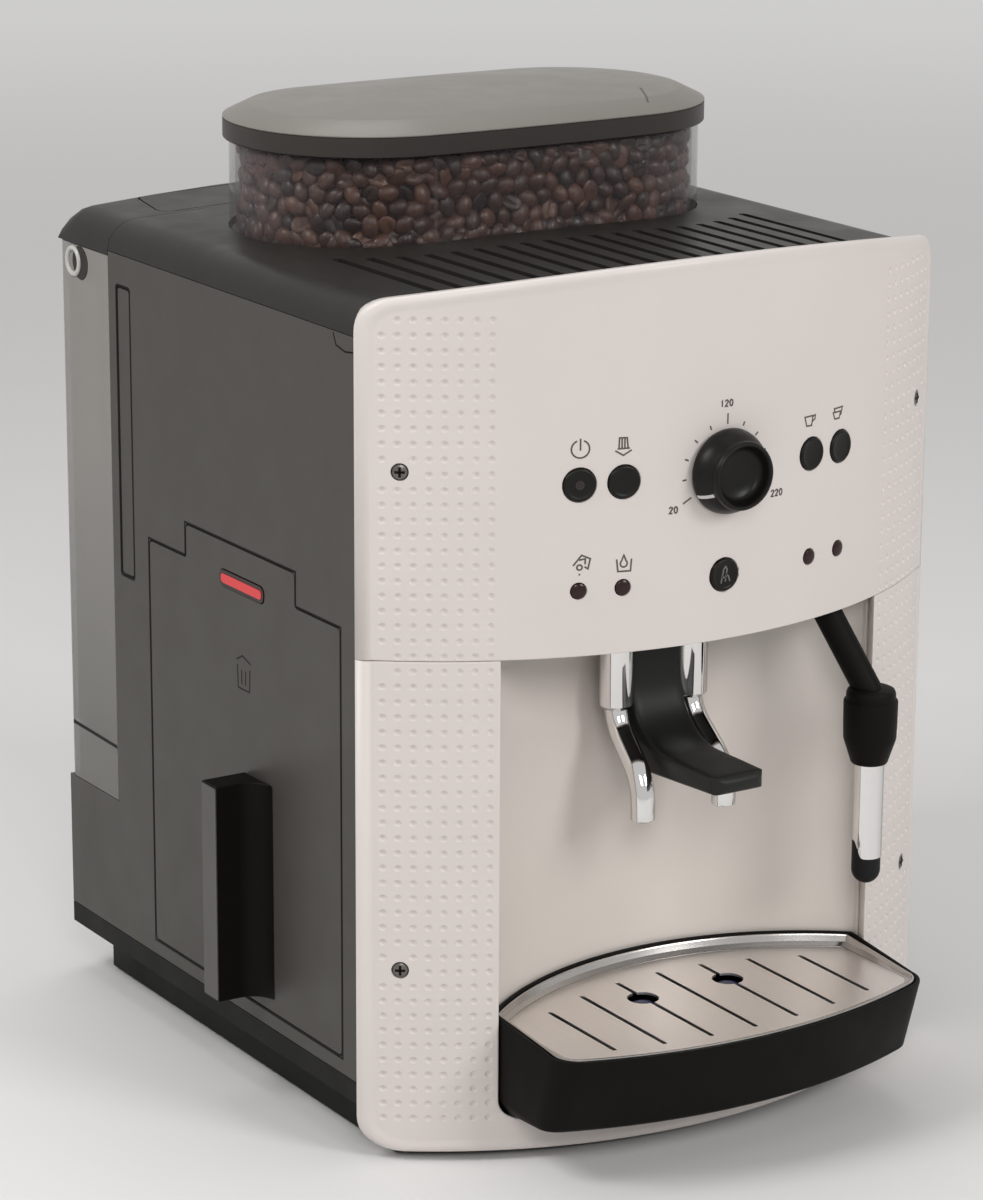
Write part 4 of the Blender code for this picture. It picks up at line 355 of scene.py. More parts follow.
def on_facade(x, z):
    """A frame on the facade's outer face, its X to the right, Y up, Z out of the face."""
    lean = math.asin(x / FACADE_RADIUS)
    turn = Matrix(((math.cos(lean), 0, math.sin(lean)),
                   (math.sin(lean), 0, -math.cos(lean)),
                   (0, 1, 0))).to_4x4()
    return at(x, facade_y(x), z) @ turn


# Materials

MIX_FACTOR, MIX_FIRST, MIX_SECOND, MIX_RESULT = 0, 6, 7, 2


class Nodes:
    """Short calls for building the node tree of a material or world."""

    def __init__(self, owner):
        owner.use_nodes = True
        self.tree = owner.node_tree
        self.shader = self.tree.nodes.get("Principled BSDF")
        self.place = self.add("TexCoord", output="Object")

    def fill(self, node, inputs):
        """Links inputs that are sockets, and sets the others."""
        for key, value in dict(inputs).items():
            socket = node.inputs[key]
            if isinstance(value, bpy.types.NodeSocket):
                self.tree.links.new(value, socket)
            else:
                socket.default_value = (*value, 1.0) if socket.type == "RGBA" else value

    def add(self, kind, inputs=(), output=0, **settings):
        """An output of a new node."""
        node = self.tree.nodes.new("ShaderNode" + kind)
        for key, value in settings.items():
            setattr(node, key, value)
        self.fill(node, inputs)
        return node.outputs[output]

    def noise(self, scale, detail=2.0, stretch=None):
        place = self.place
        if stretch:
            place = self.add("Mapping", {"Vector": place, "Scale": stretch})
        return self.add("TexNoise", {"Vector": place, "Scale": scale, "Detail": detail})

    def spread(self, value, low, high, start=0.3, end=0.7, **settings):
        return self.add("MapRange", {"Value": value, "From Min": start, "From Max": end,
                                     "To Min": low, "To Max": high}, **settings)

    def about(self, value, middle, share):
        return self.spread(value, middle - share, middle + share)

    def blend(self, factor, first, second):
        return self.add("Mix", {MIX_FACTOR: factor, MIX_FIRST: first, MIX_SECOND: second},
                        MIX_RESULT, data_type="RGBA")

    def mottled(self, factor, colour, share):
        return self.blend(factor, tinted(colour, 1 - share), tinted(colour, 1 + share))

    def bump(self, height, distance, **under):
        return self.add("Bump", {"Height": height, "Distance": distance, "Strength": 1.0, **under})

    def mix(self, factor, first, second):
        return self.add("MixShader", {0: factor, 1: first, 2: second})

    def paint(self, colour, roughness, normal, **others):
        self.fill(self.shader, {"Base Color": colour, "Roughness": roughness, "Normal": normal})
        self.fill(self.shader, others)
        return self

    def show(self, shader):
        self.fill(self.tree.nodes["Material Output"], {"Surface": shader})

    def seen_rays(self):
        """1 where a camera, glossy or transmission ray looks, else 0."""
        seen = self.add("LightPath", output="Is Camera Ray")
        for ray in ("Is Glossy Ray", "Is Transmission Ray"):
            seen = self.add("Math", {0: seen, 1: self.add("LightPath", output=ray)},
                            operation="MAXIMUM")
        return seen


finish = {}


def new_look(name):
    finish[name] = bpy.data.materials.new(name)
    return Nodes(finish[name])


def tinted(colour, factor):
    return tuple(min(1.0, c * factor) for c in colour)


def plastic(name, colour, roughness, specular=0.5, grain=1400.0, depth=0.00002, wave=0.00004,
            spread=0.05, mottle=0.04):
    """Moulded plastic: a fine grain, a faint waviness and uneven gloss."""
    nodes = new_look(name)
    broad = nodes.noise(22.0, 3.0)
    rough = nodes.bump(nodes.noise(grain), depth)
    return nodes.paint(nodes.mottled(broad, colour, mottle),
                       nodes.about(nodes.noise(60.0, 4.0), roughness, spread),
                       nodes.bump(broad, wave, Normal=rough), **{"Specular IOR Level": specular})


def metal(name, colour, roughness, stretch=None, grain=400.0, depth=0.00001, spread=0.05,
          mottle=0.05, edge=1.0):
    """Bare metal, brushed along the long axis of its stretch, or polished without one. An edge below
    1 darkens the colour where the surface turns edge on, as a painted reflection.
    """
    nodes = new_look(name)
    lines = nodes.noise(grain, 3.0, stretch)
    colours = nodes.mottled(lines, colour, mottle)
    # painted reflection: the colour darkens towards the grazing edges
    if edge < 1.0:
        facing = nodes.add("LayerWeight", {"Blend": 0.5}, "Facing")
        rim = nodes.spread(facing, 0.0, 1.0, 0.55, 0.95)
        colours = nodes.blend(rim, colours, tinted(colour, edge))
    nodes.paint(colours, nodes.about(nodes.noise(30.0, 3.0), roughness, spread),
                nodes.bump(lines, depth), Metallic=1.0)


def clear_plastic(name, tint, rough, low, high, streaks=None, deep=None):
    """Thin clear plastic: see-through face on, more reflecting and tinted edge on.

    Deep is a darkening factor and the two heights between which painted shade, darker towards the
    foot, fades out.
    """
    nodes = new_look(name)
    facing = nodes.add("LayerWeight", {"Blend": 0.45}, "Facing")
    seen = nodes.noise(40.0, 3.0, streaks)
    colours = nodes.mottled(seen, tint, 0.08)
    # painted shade: the colour darkens towards the foot, below the given heights
    if deep:
        height = nodes.add("SeparateXYZ", {0: nodes.place}, "Z")
        colours = nodes.blend(nodes.spread(height, 0.0, 1.0, *deep[1:]), tinted(tint, deep[0]),
                              colours)
    nodes.paint(colours, nodes.spread(seen, rough * 0.7, rough * 1.3), nodes.bump(seen, 0.00005))
    nodes.show(nodes.mix(nodes.spread(facing, low, high, 0.0, 1.0), nodes.add("BsdfTransparent"),
                         nodes.shader.outputs["BSDF"]))


def roasted(name, dark, light):
    """Roasted coffee: each bean has its own shade, with an oily gloss."""
    nodes = new_look(name)
    own = nodes.blend(nodes.add("Attribute", output="Fac", attribute_name="shade"), dark, light)
    seen = nodes.noise(500.0, 3.0)
    nodes.paint(nodes.blend(nodes.spread(seen, 0.0, 0.5), own, dark),
                nodes.spread(seen, 0.30, 0.50), nodes.bump(seen, 0.00012))


FELT = {"grain": 2600.0, "depth": 0.00003}
plastic("white_shell", (0.70, 0.643, 0.61), 0.34, 0.4)
plastic("niche_white", (0.69, 0.63, 0.58), 0.30, wave=0.000008, spread=0.015, mottle=0.015)
plastic("dark_grey_shell", (0.058, 0.053, 0.046), 0.42, 0.35, **FELT)
plastic("black_plastic", (0.0065, 0.006, 0.005), 0.36, 0.22)
plastic("base_black", (0.0065, 0.006, 0.0055), 0.5, 0.15, **FELT)
plastic("cover_black", (0.018, 0.0167, 0.0145), 0.40, 0.25, 1800.0, 0.00003)
plastic("outlet_black", (0.012, 0.0125, 0.0105), 0.42, 0.25)
plastic("handle_grey", (0.085, 0.079, 0.074), 0.42, 0.35, **FELT)
plastic("tray_black", (0.0045, 0.004, 0.0034), 0.55, 0.10, **FELT)
plastic("rubber", (0.008, 0.008, 0.008), 0.6, 0.2, 3000.0, 0.00004)
plastic("silver_grey_lid", (0.190, 0.176, 0.157), 0.36, 0.5, 3200.0, 0.00003)
# the lid rim's silver grey darkened as painted shade; also the power button's printed mark
plastic("lid_painted_shade_and_mark", (0.035, 0.029, 0.026), 0.42, 0.3, **FELT)
# a light grey standing in for a glint: painted highlight
plastic("glint", (0.50, 0.49, 0.46), 0.16, 0.6)
plastic("red_window", (0.72, 0.03, 0.035), 0.2)
plastic("dark_red_lamp", (0.022, 0.006, 0.006), 0.16, 0.35)
plastic("blue_float", (0.010, 0.020, 0.075), 0.3, 0.3)
plastic("circuit_board", (0.03, 0.16, 0.07), 0.5)
plastic("dark_ink", (0.085, 0.075, 0.068), 0.5)
plastic("grey_ink", (0.12, 0.12, 0.115), 0.5)
plastic("white_ink", (0.62, 0.60, 0.58), 0.4)
metal("brushed_steel", (0.86, 0.82, 0.79), 0.34, (1.0, 0.015, 1.0), 1600.0, 0.000004)
metal("polished_steel", (0.52, 0.50, 0.48), 0.22, None, 200.0, 0.000002)
# chrome: its dark grazing edges are a painted reflection
metal("chrome", (0.80, 0.79, 0.78), 0.05, None, 200.0, 0.000001, 0.02, 0.02, 0.18)
metal("screw_steel", (0.17, 0.16, 0.15), 0.32)
metal("grey_metal", (0.30, 0.30, 0.30), 0.36)
clear_plastic("clear_hopper", (0.16, 0.14, 0.145), 0.06, 0.06, 0.42)
# smoked tank: painted shade darkens its lower part
clear_plastic("smoked_tank", (0.30, 0.287, 0.265), 0.16, 0.55, 0.92, (1.0, 1.0, 0.05),
              (0.62, 0.11, 0.22))
roasted("roasted_bean", (0.016, 0.008, 0.006), (0.155, 0.066, 0.038))
SOFT_EDGE = {"tank": 0.0016, "left_panel": 0.00015, "drawer_front": 0.00015}
NODE_EDGE = 0.0004
NODE_ANGLE = math.radians(36)
FLAT_ANGLE = math.radians(0.5)
WELD_GAP = 1e-5
NODE_LOOK = {"top_cover": "cover_black", "tank_cap": "cover_black", "tank_flap": "cover_black"}


def shading_group():
    """Geometry nodes that drop baked normals and shade by angle instead."""
    group = bpy.data.node_groups.new("shade_by_angle", "GeometryNodeTree")
    for way in ("INPUT", "OUTPUT"):
        group.interface.new_socket("Geometry", in_out=way, socket_type="NodeSocketGeometry")
    start, end, turn, test, smooth = [group.nodes.new(kind) for kind in (
        "NodeGroupInput", "NodeGroupOutput", "GeometryNodeInputMeshEdgeAngle",
        "FunctionNodeCompare", "GeometryNodeSetMeshNormal")]
    test.data_type, test.operation = "FLOAT", "GREATER_THAN"
    test.inputs["B"].default_value = NODE_ANGLE
    smooth.mode = "SHARPNESS"
    smooth.inputs["Remove Custom"].default_value = True
    for source, target in ((turn.outputs["Unsigned Angle"], test.inputs["A"]),
                           (test.outputs["Result"], smooth.inputs["Edge Sharpness"]),
                           (start.outputs[0], smooth.inputs["Mesh"]),
                           (smooth.outputs["Mesh"], end.inputs[0])):
        group.links.new(source, target)
    return group


def dress_nodes():
    """Welds, softens and smooths every CAD node, and gives it its material."""
    group = shading_group()
    for name, node in frame["nodes"].items():
        for slot in node.material_slots:
            slot.material = finish[NODE_LOOK.get(name, slot.material.name)]
        for kind, settings in (
                ("WELD", {"merge_threshold": WELD_GAP}),
                ("DECIMATE", {"decimate_type": "DISSOLVE", "angle_limit": FLAT_ANGLE}),
                ("BEVEL", {"width": SOFT_EDGE.get(name, NODE_EDGE), "segments": 3,
                           "limit_method": "ANGLE", "angle_limit": NODE_ANGLE}),
                ("NODES", {"node_group": group}), ("WEIGHTED_NORMAL", {"keep_sharp": True})):
            modifier = node.modifiers.new(kind.lower(), kind)
            for key, value in settings.items():
                setattr(modifier, key, value)


def put(made, body, slot, look=None, *stands_for):
    """Gives a new piece its material and body, and says which CAD nodes it stands for."""
    made.data.materials.clear()
    made.data.materials.append(finish[look or slot])
    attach(made, body)
    if stands_for:
        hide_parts(*stands_for)
    return made


# Facade


def edge_rings(outline, widths):
    """Rings of (point, depth) inwards from the outline, over a raised bead or a rounded edge."""
    normals, rings = side_normals(outline), []
    for k, bead in enumerate(BEAD):
        turn = math.pi / 2 * k / (len(BEAD) - 1)
        ring = []
        for i, point in enumerate(outline):
            w1, w2 = widths[i - 1], widths[i]
            reach, depth = bead
            if max(w1, w2) < EDGE_WIDTH:
                reach, depth = 1 - math.cos(turn), max(w1, w2) * EDGE_ROUND * (1 - math.sin(turn))
            ring.append((point + miter(normals[i - 1], w1, normals[i], w2) * reach, depth))
        rings.append(ring)
    return rings


def inside(point, loop):
    """True if a 2-D point lies inside a closed loop."""
    hit = False
    for a, b in zip(loop, loop[1:] + loop[:1]):
        if (a[1] > point[1]) != (b[1] > point[1]):
            if point[0] < a[0] + (point[1] - a[1]) * (b[0] - a[0]) / (b[1] - a[1]):
                hit = not hit
    return hit


def circle(centre, radius, count):
    return [Vector((centre[0] + radius * math.cos(t), centre[1] + radius * math.sin(t)))
            for t in around(count)]


def hole_line(centre, radius, inset=0):
    """A round hole square to the bowed face, as seen from the front, inset behind the face."""
    lean = math.asin(centre[0] / FACADE_RADIUS)
    middle = centre[0] - inset * math.sin(lean)
    return [Vector((middle + (p.x - centre[0]) * math.cos(lean), p.y))
            for p in circle(centre, radius, FINE // 2)]


def distance_to(point, loop):
    nearest = 1.0
    for a, b in zip(loop, loop[1:] + loop[:1]):
        along = b - a
        share = max(0, min(1, (point - a).dot(along) / along.length_squared))
        nearest = min(nearest, (point - a - along * share).length)
    return nearest


def facade_half(name, stands_for, outline, widths, holes, screws, heights):
    """One half of the facade: rounded edges, holes, and rows of small round dimples."""
    holes, dimples = holes + screws, dimple_rows(heights, outline, screws)
    vertices, faces = [], []

    def front(point, depth=0.0):
        vertices.append((point[0], facade_y(point[0], depth), point[1]))
        return len(vertices) - 1

    def back(point):
        y = min(facade_y(point[0], FACADE_THICKNESS), FRONT_Y + FACADE_RETURN)
        vertices.append((point[0], y, point[1]))
        return len(vertices) - 1

    rings = edge_rings(outline, widths)
    inner = [p for p, d in rings[-1]]
    faces += bands([[back(p) for p in inner], [back(p) for p in outline]]
                   + [[front(p, d) for p, d in ring] for ring in rings])
    loops, back_loops = [[hole_line(c, r + HOLE_EASE, inset) for c, r in holes]
                         for inset in (0, FACADE_THICKNESS)]
    for (centre, radius), loop, back_loop in zip(holes, loops, back_loops):
        faces += bands([[front(p) for p in loop],
                        [front(p, HOLE_EASE) for p in hole_line(centre, radius, HOLE_EASE)],
                        [back(p) for p in hole_line(centre, radius, FACADE_THICKNESS)],
                        [back(p) for p in back_loop]])
    cups = [circle(c, DIMPLE_RADIUS, DIMPLE_POINTS) for c in dimples]
    for centre, cup in zip(dimples, cups):
        rows = [[front(p) for p in cup]]
        rows += [[front(p, DIMPLE_DEPTH * deep)
                  for p in circle(centre, DIMPLE_RADIUS * share, DIMPLE_POINTS)]
                 for share, deep in DIMPLE_SECTION]
        faces += bands(rows) + [tuple(rows[-1])]

    grid = []
    plain = min(abs(x) for x, z in dimples) - SHEET_PITCH
    steps_x = int(max(p.x for p in inner) / SHEET_PITCH)
    low_z, high_z = min(p.y for p in inner), max(p.y for p in inner)
    steps_z = int((high_z - low_z) / SHEET_PITCH / 2)
    for i in range(-steps_x, steps_x + 1):
        for k in range(1, steps_z):
            spot = Vector((i * SHEET_PITCH, low_z + (high_z - low_z) * k / steps_z))
            if (abs(spot.x) <= plain and inside(spot, inner)
                    and distance_to(spot, inner) >= SHEET_GAP
                    and all((spot - Vector(c)).length > r + SHEET_GAP for c, r in holes)):
                grid.append(spot)

    def fill(all_loops, voids, make):
        """A sheet of triangles through the grid, within the edge and round the voids."""
        points, edges = [], []
        for loop in all_loops:
            first = len(points)
            points += [Vector(p) for p in loop]
            edges += [(first + i, first + (i + 1) % len(loop)) for i in range(len(loop))]
        found, _, triangles, _, _, _ = delaunay_2d_cdt(points + grid, edges, [], 1, 1e-9)
        index, tree = [make(p) for p in found], KDTree(len(voids))
        for i, (centre, radius) in enumerate(voids):
            tree.insert((*centre, 0), i)
        tree.balance()
        widest = max(radius for centre, radius in voids)
        for triangle in triangles:
            middle = sum((found[i] for i in triangle), Vector((0, 0))) / 3
            if inside(middle, inner) and all(reach >= voids[i][1] for place, i, reach
                                             in tree.find_range(middle.to_3d(), widest)):
                faces.append(tuple(index[i] for i in triangle))
    wide = [(c, r + HOLE_EASE / 2) for c, r in holes]
    pits = [(c, DIMPLE_RADIUS * DIMPLE_FILL) for c in dimples]
    fill([inner] + loops + cups, wide + pits, front)
    fill([inner] + back_loops, [((c[0] * BACK_SHARE, c[1]), r) for c, r in wide], back)
    made = solid(name, vertices, faces, 50)
    axis = Vector((0, FACADE_CENTRE_Y, 0))
    normals = []
    for v in made.data.vertices:
        out = Vector((v.co.x, v.co.y, 0)) - axis
        on_face = abs(out.length - FACADE_RADIUS) < TINY
        normals.append(out.normalized() if on_face else Vector((0, 0, 0)))
    made.data.normals_split_custom_set_from_vertices(normals)
    put(made, "machine", "white_shell", None, stands_for)


def dimple_rows(heights, outline, screws):
    """Places of the dimples: equal steps round the bow and up the face, clear of the screws."""
    spots = []
    for k in range(DIMPLE_COLUMNS):
        x = FACADE_RADIUS * math.sin(math.radians(DIMPLE_FIRST_ANGLE + DIMPLE_ANGLE_PITCH * k))
        for place in [(s * x, z) for s in (-1, 1) for z in heights]:
            spot = Vector(place)
            clear = all((spot - Vector(c)).length >= DIMPLE_SCREW_GAP for c, r in screws)
            if inside(spot, outline) and clear and (
                    distance_to(spot, outline) > EDGE_WIDTH + DIMPLE_RADIUS
                    or abs(spot.x) < FACADE_HALF - 2 * EDGE_WIDTH):
                spots.append(place)
    return spots


def make_facade():
    half = FACADE_HALF
    across = [(-half + 2 * half * i / BOW, PANEL_EDGE_Z) for i in range(BOW + 1)]
    top = bowed_edge(half, FACADE_PEAK_Z, FACADE_ARCH_RADIUS, FACADE_TOP_CORNER, 1)
    holes = [(spot, BUTTON_RADIUS + CLEARANCE) for spot in BUTTONS.values()]
    holes += [((x, LAMP_ROW_Z), LAMP_RADIUS + CLEARANCE) for x in sorted(LENSES.values())]
    high_screws, low_screws = [[((x, z), SCREW_RADIUS + CLEARANCE) for x in (-SCREW_X, SCREW_X)]
                               for z in (SCREW_HIGH_Z, SCREW_LOW_Z)]
    facade_half("panel_front", "control_panel", [Vector(p) for p in top + across],
                [EDGE_WIDTH] * len(top) + [SEAM_EASE] * BOW + [EDGE_WIDTH], holes, high_screws,
                [PANEL_EDGE_Z + DIMPLE_HIGH_START + DIMPLE_HIGH_PITCH * k
                 for k in range(DIMPLE_HIGH_ROWS)])

    low, corner = lower_low.z, FACADE_BOTTOM_CORNER
    opening = NICHE_HALF - NICHE_CORNER
    strip = max(2, round(BOW * (half - NICHE_HALF) / half / 2))
    left = [(-NICHE_HALF + (NICHE_HALF - half) * i / strip, SEAM_Z) for i in range(strip)]
    right = [(half + (NICHE_HALF - half) * i / strip, SEAM_Z) for i in range(strip)]
    bottom = arc((corner - half, low + corner), corner, 180, 270)
    bottom += [(-half + corner + 2 * (half - corner) * i / BOW, low) for i in range(1, BOW)]
    bottom += arc((half - corner, low + corner), corner, 270, 360)
    sill = arc((opening, NICHE_SILL_Z + NICHE_CORNER), NICHE_CORNER, 360, 270)
    sill += [(opening - 2 * opening * i / BOW, NICHE_SILL_Z) for i in range(1, BOW)]
    sill += arc((-opening, NICHE_SILL_Z + NICHE_CORNER), NICHE_CORNER, 270, 180)
    parts = [(left, SEAM_EASE), ([(-half, SEAM_Z)] + bottom, EDGE_WIDTH), (right, SEAM_EASE),
             ([(NICHE_HALF, SEAM_Z)] + sill, OPENING_EASE)]
    facade_half("lower_front", "lower_facade",
                [Vector(p) for points, width in parts for p in points],
                [width for points, width in parts for p in points], [], low_screws,
                [SEAM_Z - DIMPLE_LOW_START - DIMPLE_LOW_PITCH * k for k in range(DIMPLE_LOW_ROWS)])


def make_screws():
    """Cross-head screws, sunk square to the bowed face."""
    for level, z in (("upper", SCREW_HIGH_Z), ("lower", SCREW_LOW_Z)):
        for side, x in (("left", -SCREW_X), ("right", SCREW_X)):
            name, place = f"screw_{level}_{side}", on_facade(x, z)
            put(turned(name + "_head", SCREW_PROFILE, place, ROUND), "machine", "grey_metal",
                "screw_steel", name)
            # a dark cross laid on the head stands for the recess: painted shade
            put(strokes(name + "_cross_shade", [[(-SCREW_CROSS, 0), (SCREW_CROSS, 0)],
                                          [(0, -SCREW_CROSS), (0, SCREW_CROSS)]],
                        SCREW_CROSS_WIDTH, -SCREW_CROSS_WIDTH, SCREW_CROSS_WIDTH / 4,
                        lambda u, v, w: place @ Vector((u, v, w))), "machine", None, "tray_black")


# Controls

KNOB_PROFILE = mm((3, 0.5), (14.5, 0.5), (15.0, 0.8), (15.2, 1.4), (14.9, 3.2), (14.0, 5.5),
                  (12.9, 7.3), (12.3, 8.0), (12.1, 8.4), (12.2, 8.8), (12.3, 9.6), (12.2, 10.6),
                  (11.9, 11.2), (11.4, 11.5), (10.8, 11.4), (10.4, 10.9), (10.1, 9.8), (9.7, 8.4),
                  (9.0, 7.3), (8, 6.6), (5, 5.9), (0.5, 5.7))
BUTTON_PROFILE = mm((5.85, -7.5), (5.85, 0.1), (5.75, 0.4), (5.5, 0.65), (5.1, 0.8), (4.8, 0.75),
                    (4.5, 0.6), (4.1, 0.5), (3, 0.4), (0.3, 0.35))
LAMP_PROFILE = mm((2.7, -3), (2.7, 0.1), (2.6, 0.35), (2.2, 0.55), (1.4, 0.75), (0.3, 0.8))
POINTER_WIDTH = 0.0013
POINTER_LINE = mm((15.14, 1.8), (14.9, 3.2), (14.0, 5.5), (12.9, 7.3), (12.3, 8.0))
POINTER_ANGLE = 209.5
TICK_COUNT = 11
TICK_SPAN = 24.0
TICK_GROUP = 5
TICK_START = 0.0164
TICK_SHORT = 0.0016
TICK_LONG = 0.0038
INK_WIDTH = 0.0006
INK_HEIGHT = 0.00004
DIGIT_HEIGHT = 0.0022
DIGIT_WIDTH = 0.0012
DIGIT_PITCH = 0.0019
NUMBERS = (("20", 209.0, 0.0243), ("120", 91.0, 0.0238), ("220", -26.3, 0.0254))


def round_line(centre, radius, start=0, end=360, steps=20):
    """Points of an arc, for centres and radii in millimetres."""
    return [(x / 1000, y / 1000) for x, y in arc(centre, radius, start, end, steps)]


MARKS = {
    "power": ((round_line((0, 0), 1.3), round_line((0, 0), 0.5)), "lid_painted_shade_and_mark"),
    "steam": ((mm((-1.6, -2.9), (-0.5, 2.2), (0.3, 3.0), (0.9, 1.9), (0.2, -2.4)),
               mm((0.2, 0.4), (1.5, -0.6), (2.3, -2.9)), mm((-1.2, -0.7), (0.6, -1.1))),
              "grey_ink"),
}
ICONS = (
    round_line((-55.3, 258.7), 3.1, 112, 428), mm((-55.3, 262.4), (-55.3, 258.2)),
    mm((-41.9, 258), (-41.7, 261.7), (-39, 261.6), (-38.6, 258)),
    mm((-40.8, 261.4), (-40.8, 258)), mm((-39.8, 261.4), (-39.8, 258)),
    mm((-42.4, 257.9), (-38, 257.9)), mm((-43.2, 257.3), (-40.3, 255.5), (-37.3, 257.2)),
    mm((-57.4, 217.7), (-54.5, 221.3), (-51.5, 219.9), (-52.3, 216.3), (-53.5, 217.2)),
    mm((-55.4, 219.6), (-53.2, 220), (-53.3, 218)), round_line((-55.2, 217), 0.9),
    mm((-55.2, 214.8), (-55.2, 214.2)),
    mm((-42.2, 218.9), (-41.7, 214.5), (-37.1, 214.4), (-36.8, 218.7)),
    round_line((-39.6, 217.2), 1.25, -230, 50) + mm((-39.6, 220.3), (-40.4, 218.15)),
    mm((35.8, 259.8), (36.8, 256.5), (39.3, 256.4), (39.9, 259.9), (35.8, 259.8)),
    mm((39.9, 259.6), (41.1, 260), (41, 258.6), (39.6, 257.8)),
    mm((50.8, 259), (51.7, 256.6), (54.2, 256.6), (54.9, 259), (50.8, 259)),
    mm((51.6, 259.2), (51.3, 260.3), (55.9, 260.5), (55.2, 257.8), (54.7, 257.7)),
)


def digit_lines(text, centre):
    """Lines of a plain number, its middle at centre."""
    top, mid = DIGIT_HEIGHT / 2, DIGIT_WIDTH / 2
    shapes = {
        "0": [(mid * math.cos(t), top * math.sin(t)) for t in [*around(20), 0]],
        "1": [(-mid / 2, top / 2), (0, top), (0, -top)],
        "2": [(mid * math.cos(t), top / 2 + top / 2 * math.sin(t))
              for t in (math.pi - math.pi * i / 8 for i in range(9))] + [(-mid, -top), (mid, -top)]}
    lines = []
    for i, letter in enumerate(text):
        shift = (i - (len(text) - 1) / 2) * DIGIT_PITCH
        lines.append([(centre[0] + shift + u, centre[1] + v) for u, v in shapes[letter]])
    return lines


def round_the_knob(angle, reach):
    turn = math.radians(angle)
    return reach * math.cos(turn), CONTROL_ROW_Z + reach * math.sin(turn)


def make_controls():
    for name, spot in BUTTONS.items():
        name += "_button"
        put(turned(name + "_cap", BUTTON_PROFILE, on_facade(*spot)), name, "black_plastic", None,
            name)
    for name, (lines, look) in MARKS.items():
        place, dish = on_facade(*BUTTONS[name]), BUTTON_PROFILE[-1][1]
        put(strokes(name + "_mark", lines, INK_WIDTH, dish - INK_HEIGHT, dish + 2 * INK_HEIGHT,
                    lambda u, v, w: place @ Vector((u, v, w))), name + "_button", None, look)
    for name, x in LENSES.items():
        put(turned(name + "_lens", LAMP_PROFILE, on_facade(x, LAMP_ROW_Z), ROUND), "machine",
            "dark_red_lamp", None, name)
    place = on_facade(0, CONTROL_ROW_Z)
    put(turned("knob_shell", KNOB_PROFILE, place, angle=40), "volume_knob", "black_plastic", None,
        "volume_knob")
    turn = place @ spin(math.radians(POINTER_ANGLE), "Z")
    half = POINTER_WIDTH / 2
    section = ((-half, -half), (half, -half), (half, INK_HEIGHT), (-half, INK_HEIGHT))
    put(loft("knob_pointer", [[turn @ Vector((r + out, v, h)) for v, out in section]
                              for r, h in POINTER_LINE]), "volume_knob", "white_shell", "white_ink")
    lines = list(ICONS)
    for k in range(TICK_COUNT):
        angle = POINTER_ANGLE - TICK_SPAN * k
        reach = TICK_START + (TICK_SHORT if k % TICK_GROUP else TICK_LONG)
        lines.append([round_the_knob(angle, TICK_START), round_the_knob(angle, reach)])
    for text, angle, reach in NUMBERS:
        lines += digit_lines(text, round_the_knob(angle, reach))
    put(strokes("panel_print", lines, INK_WIDTH, -INK_HEIGHT, INK_HEIGHT,
                lambda u, v, w: on_facade(u, v) @ Vector((0, 0, w))), "machine", None, "dark_ink")


# Coffee outlet and steam wand

TUBE_RADIUS = 0.0064
TUBE_FOOT_RISE = 0.0535
TUBE_EASE = 0.0005
SLEEVE_FOOT = mm((6.4, 1.75), (6.25, 1.4), (4.95, 0.15), (4.6, 0), (3.2, 0))
SLEEVE_INWARDS = 0.0015
SLEEVE_BACK = 0.0026
NOZZLE_RADIUS = 0.0044
NOZZLE_FORWARD = 0.0177
NOZZLE_BEND = 0.0085
NOZZLE_BEND_RISE = 0.0139
NOZZLE_BORE = (0.0027, 0.005)
NOZZLE_NECK = mm((3.7, 0.3), (3.7, -0.35), (4.2, -0.7), (4.4, -1.3))
NOZZLE_TIP = mm((4.4, 0.9), (4.25, 0.35), (3.8, 0))
STEM_FRONT = 0.0073
STEM_SET_BACK = 0.0075
BEAK_HALF = 0.0109
BEAK_REACH = 0.0533
BEAK_CORNER = 0.005
BEAK_NOSE = 0.0034
BEAK_CHIN = 0.003
BEAK_THROAT = 0.024
BEAK_TOP_RISE = 0.010
BEAK_EDGE = 0.0013
WAND_ARM_RADIUS = 0.0052
WAND_ARM_SWELL = 1.1
WAND_ARM_DROP = 0.005
WAND_ARM_SINK = 0.003
WAND_BEND = 0.0035
GRIP_PROFILE = mm((5, 0.2), (7.4, 0), (8.5, -0.5), (9.0, -1.6), (9.1, -3.9), (9.3, -4.15),
                  (9.75, -4.4), (9.9, -5.1), (9.85, -12), (9.65, -18.6), (9.45, -19.4),
                  (6.8, -27.6), (6.4, -28.1), (5.8, -28.3), (3, -28.3))
WAND_TUBE_RADIUS = 0.0056
WAND_TUBE_SINK = 0.001
WAND_TIP_TURNS = range(6, 91, 12)
WAND_TIP_LENGTH = 0.0105
WAND_TIP_STEP = 0.0065
WAND_TIP_ANGLE = 20.0
WAND_TIP_SHARP = 12.0
WAND_CORE_GAP = 0.0003
WAND_CORE_SINK = 0.002


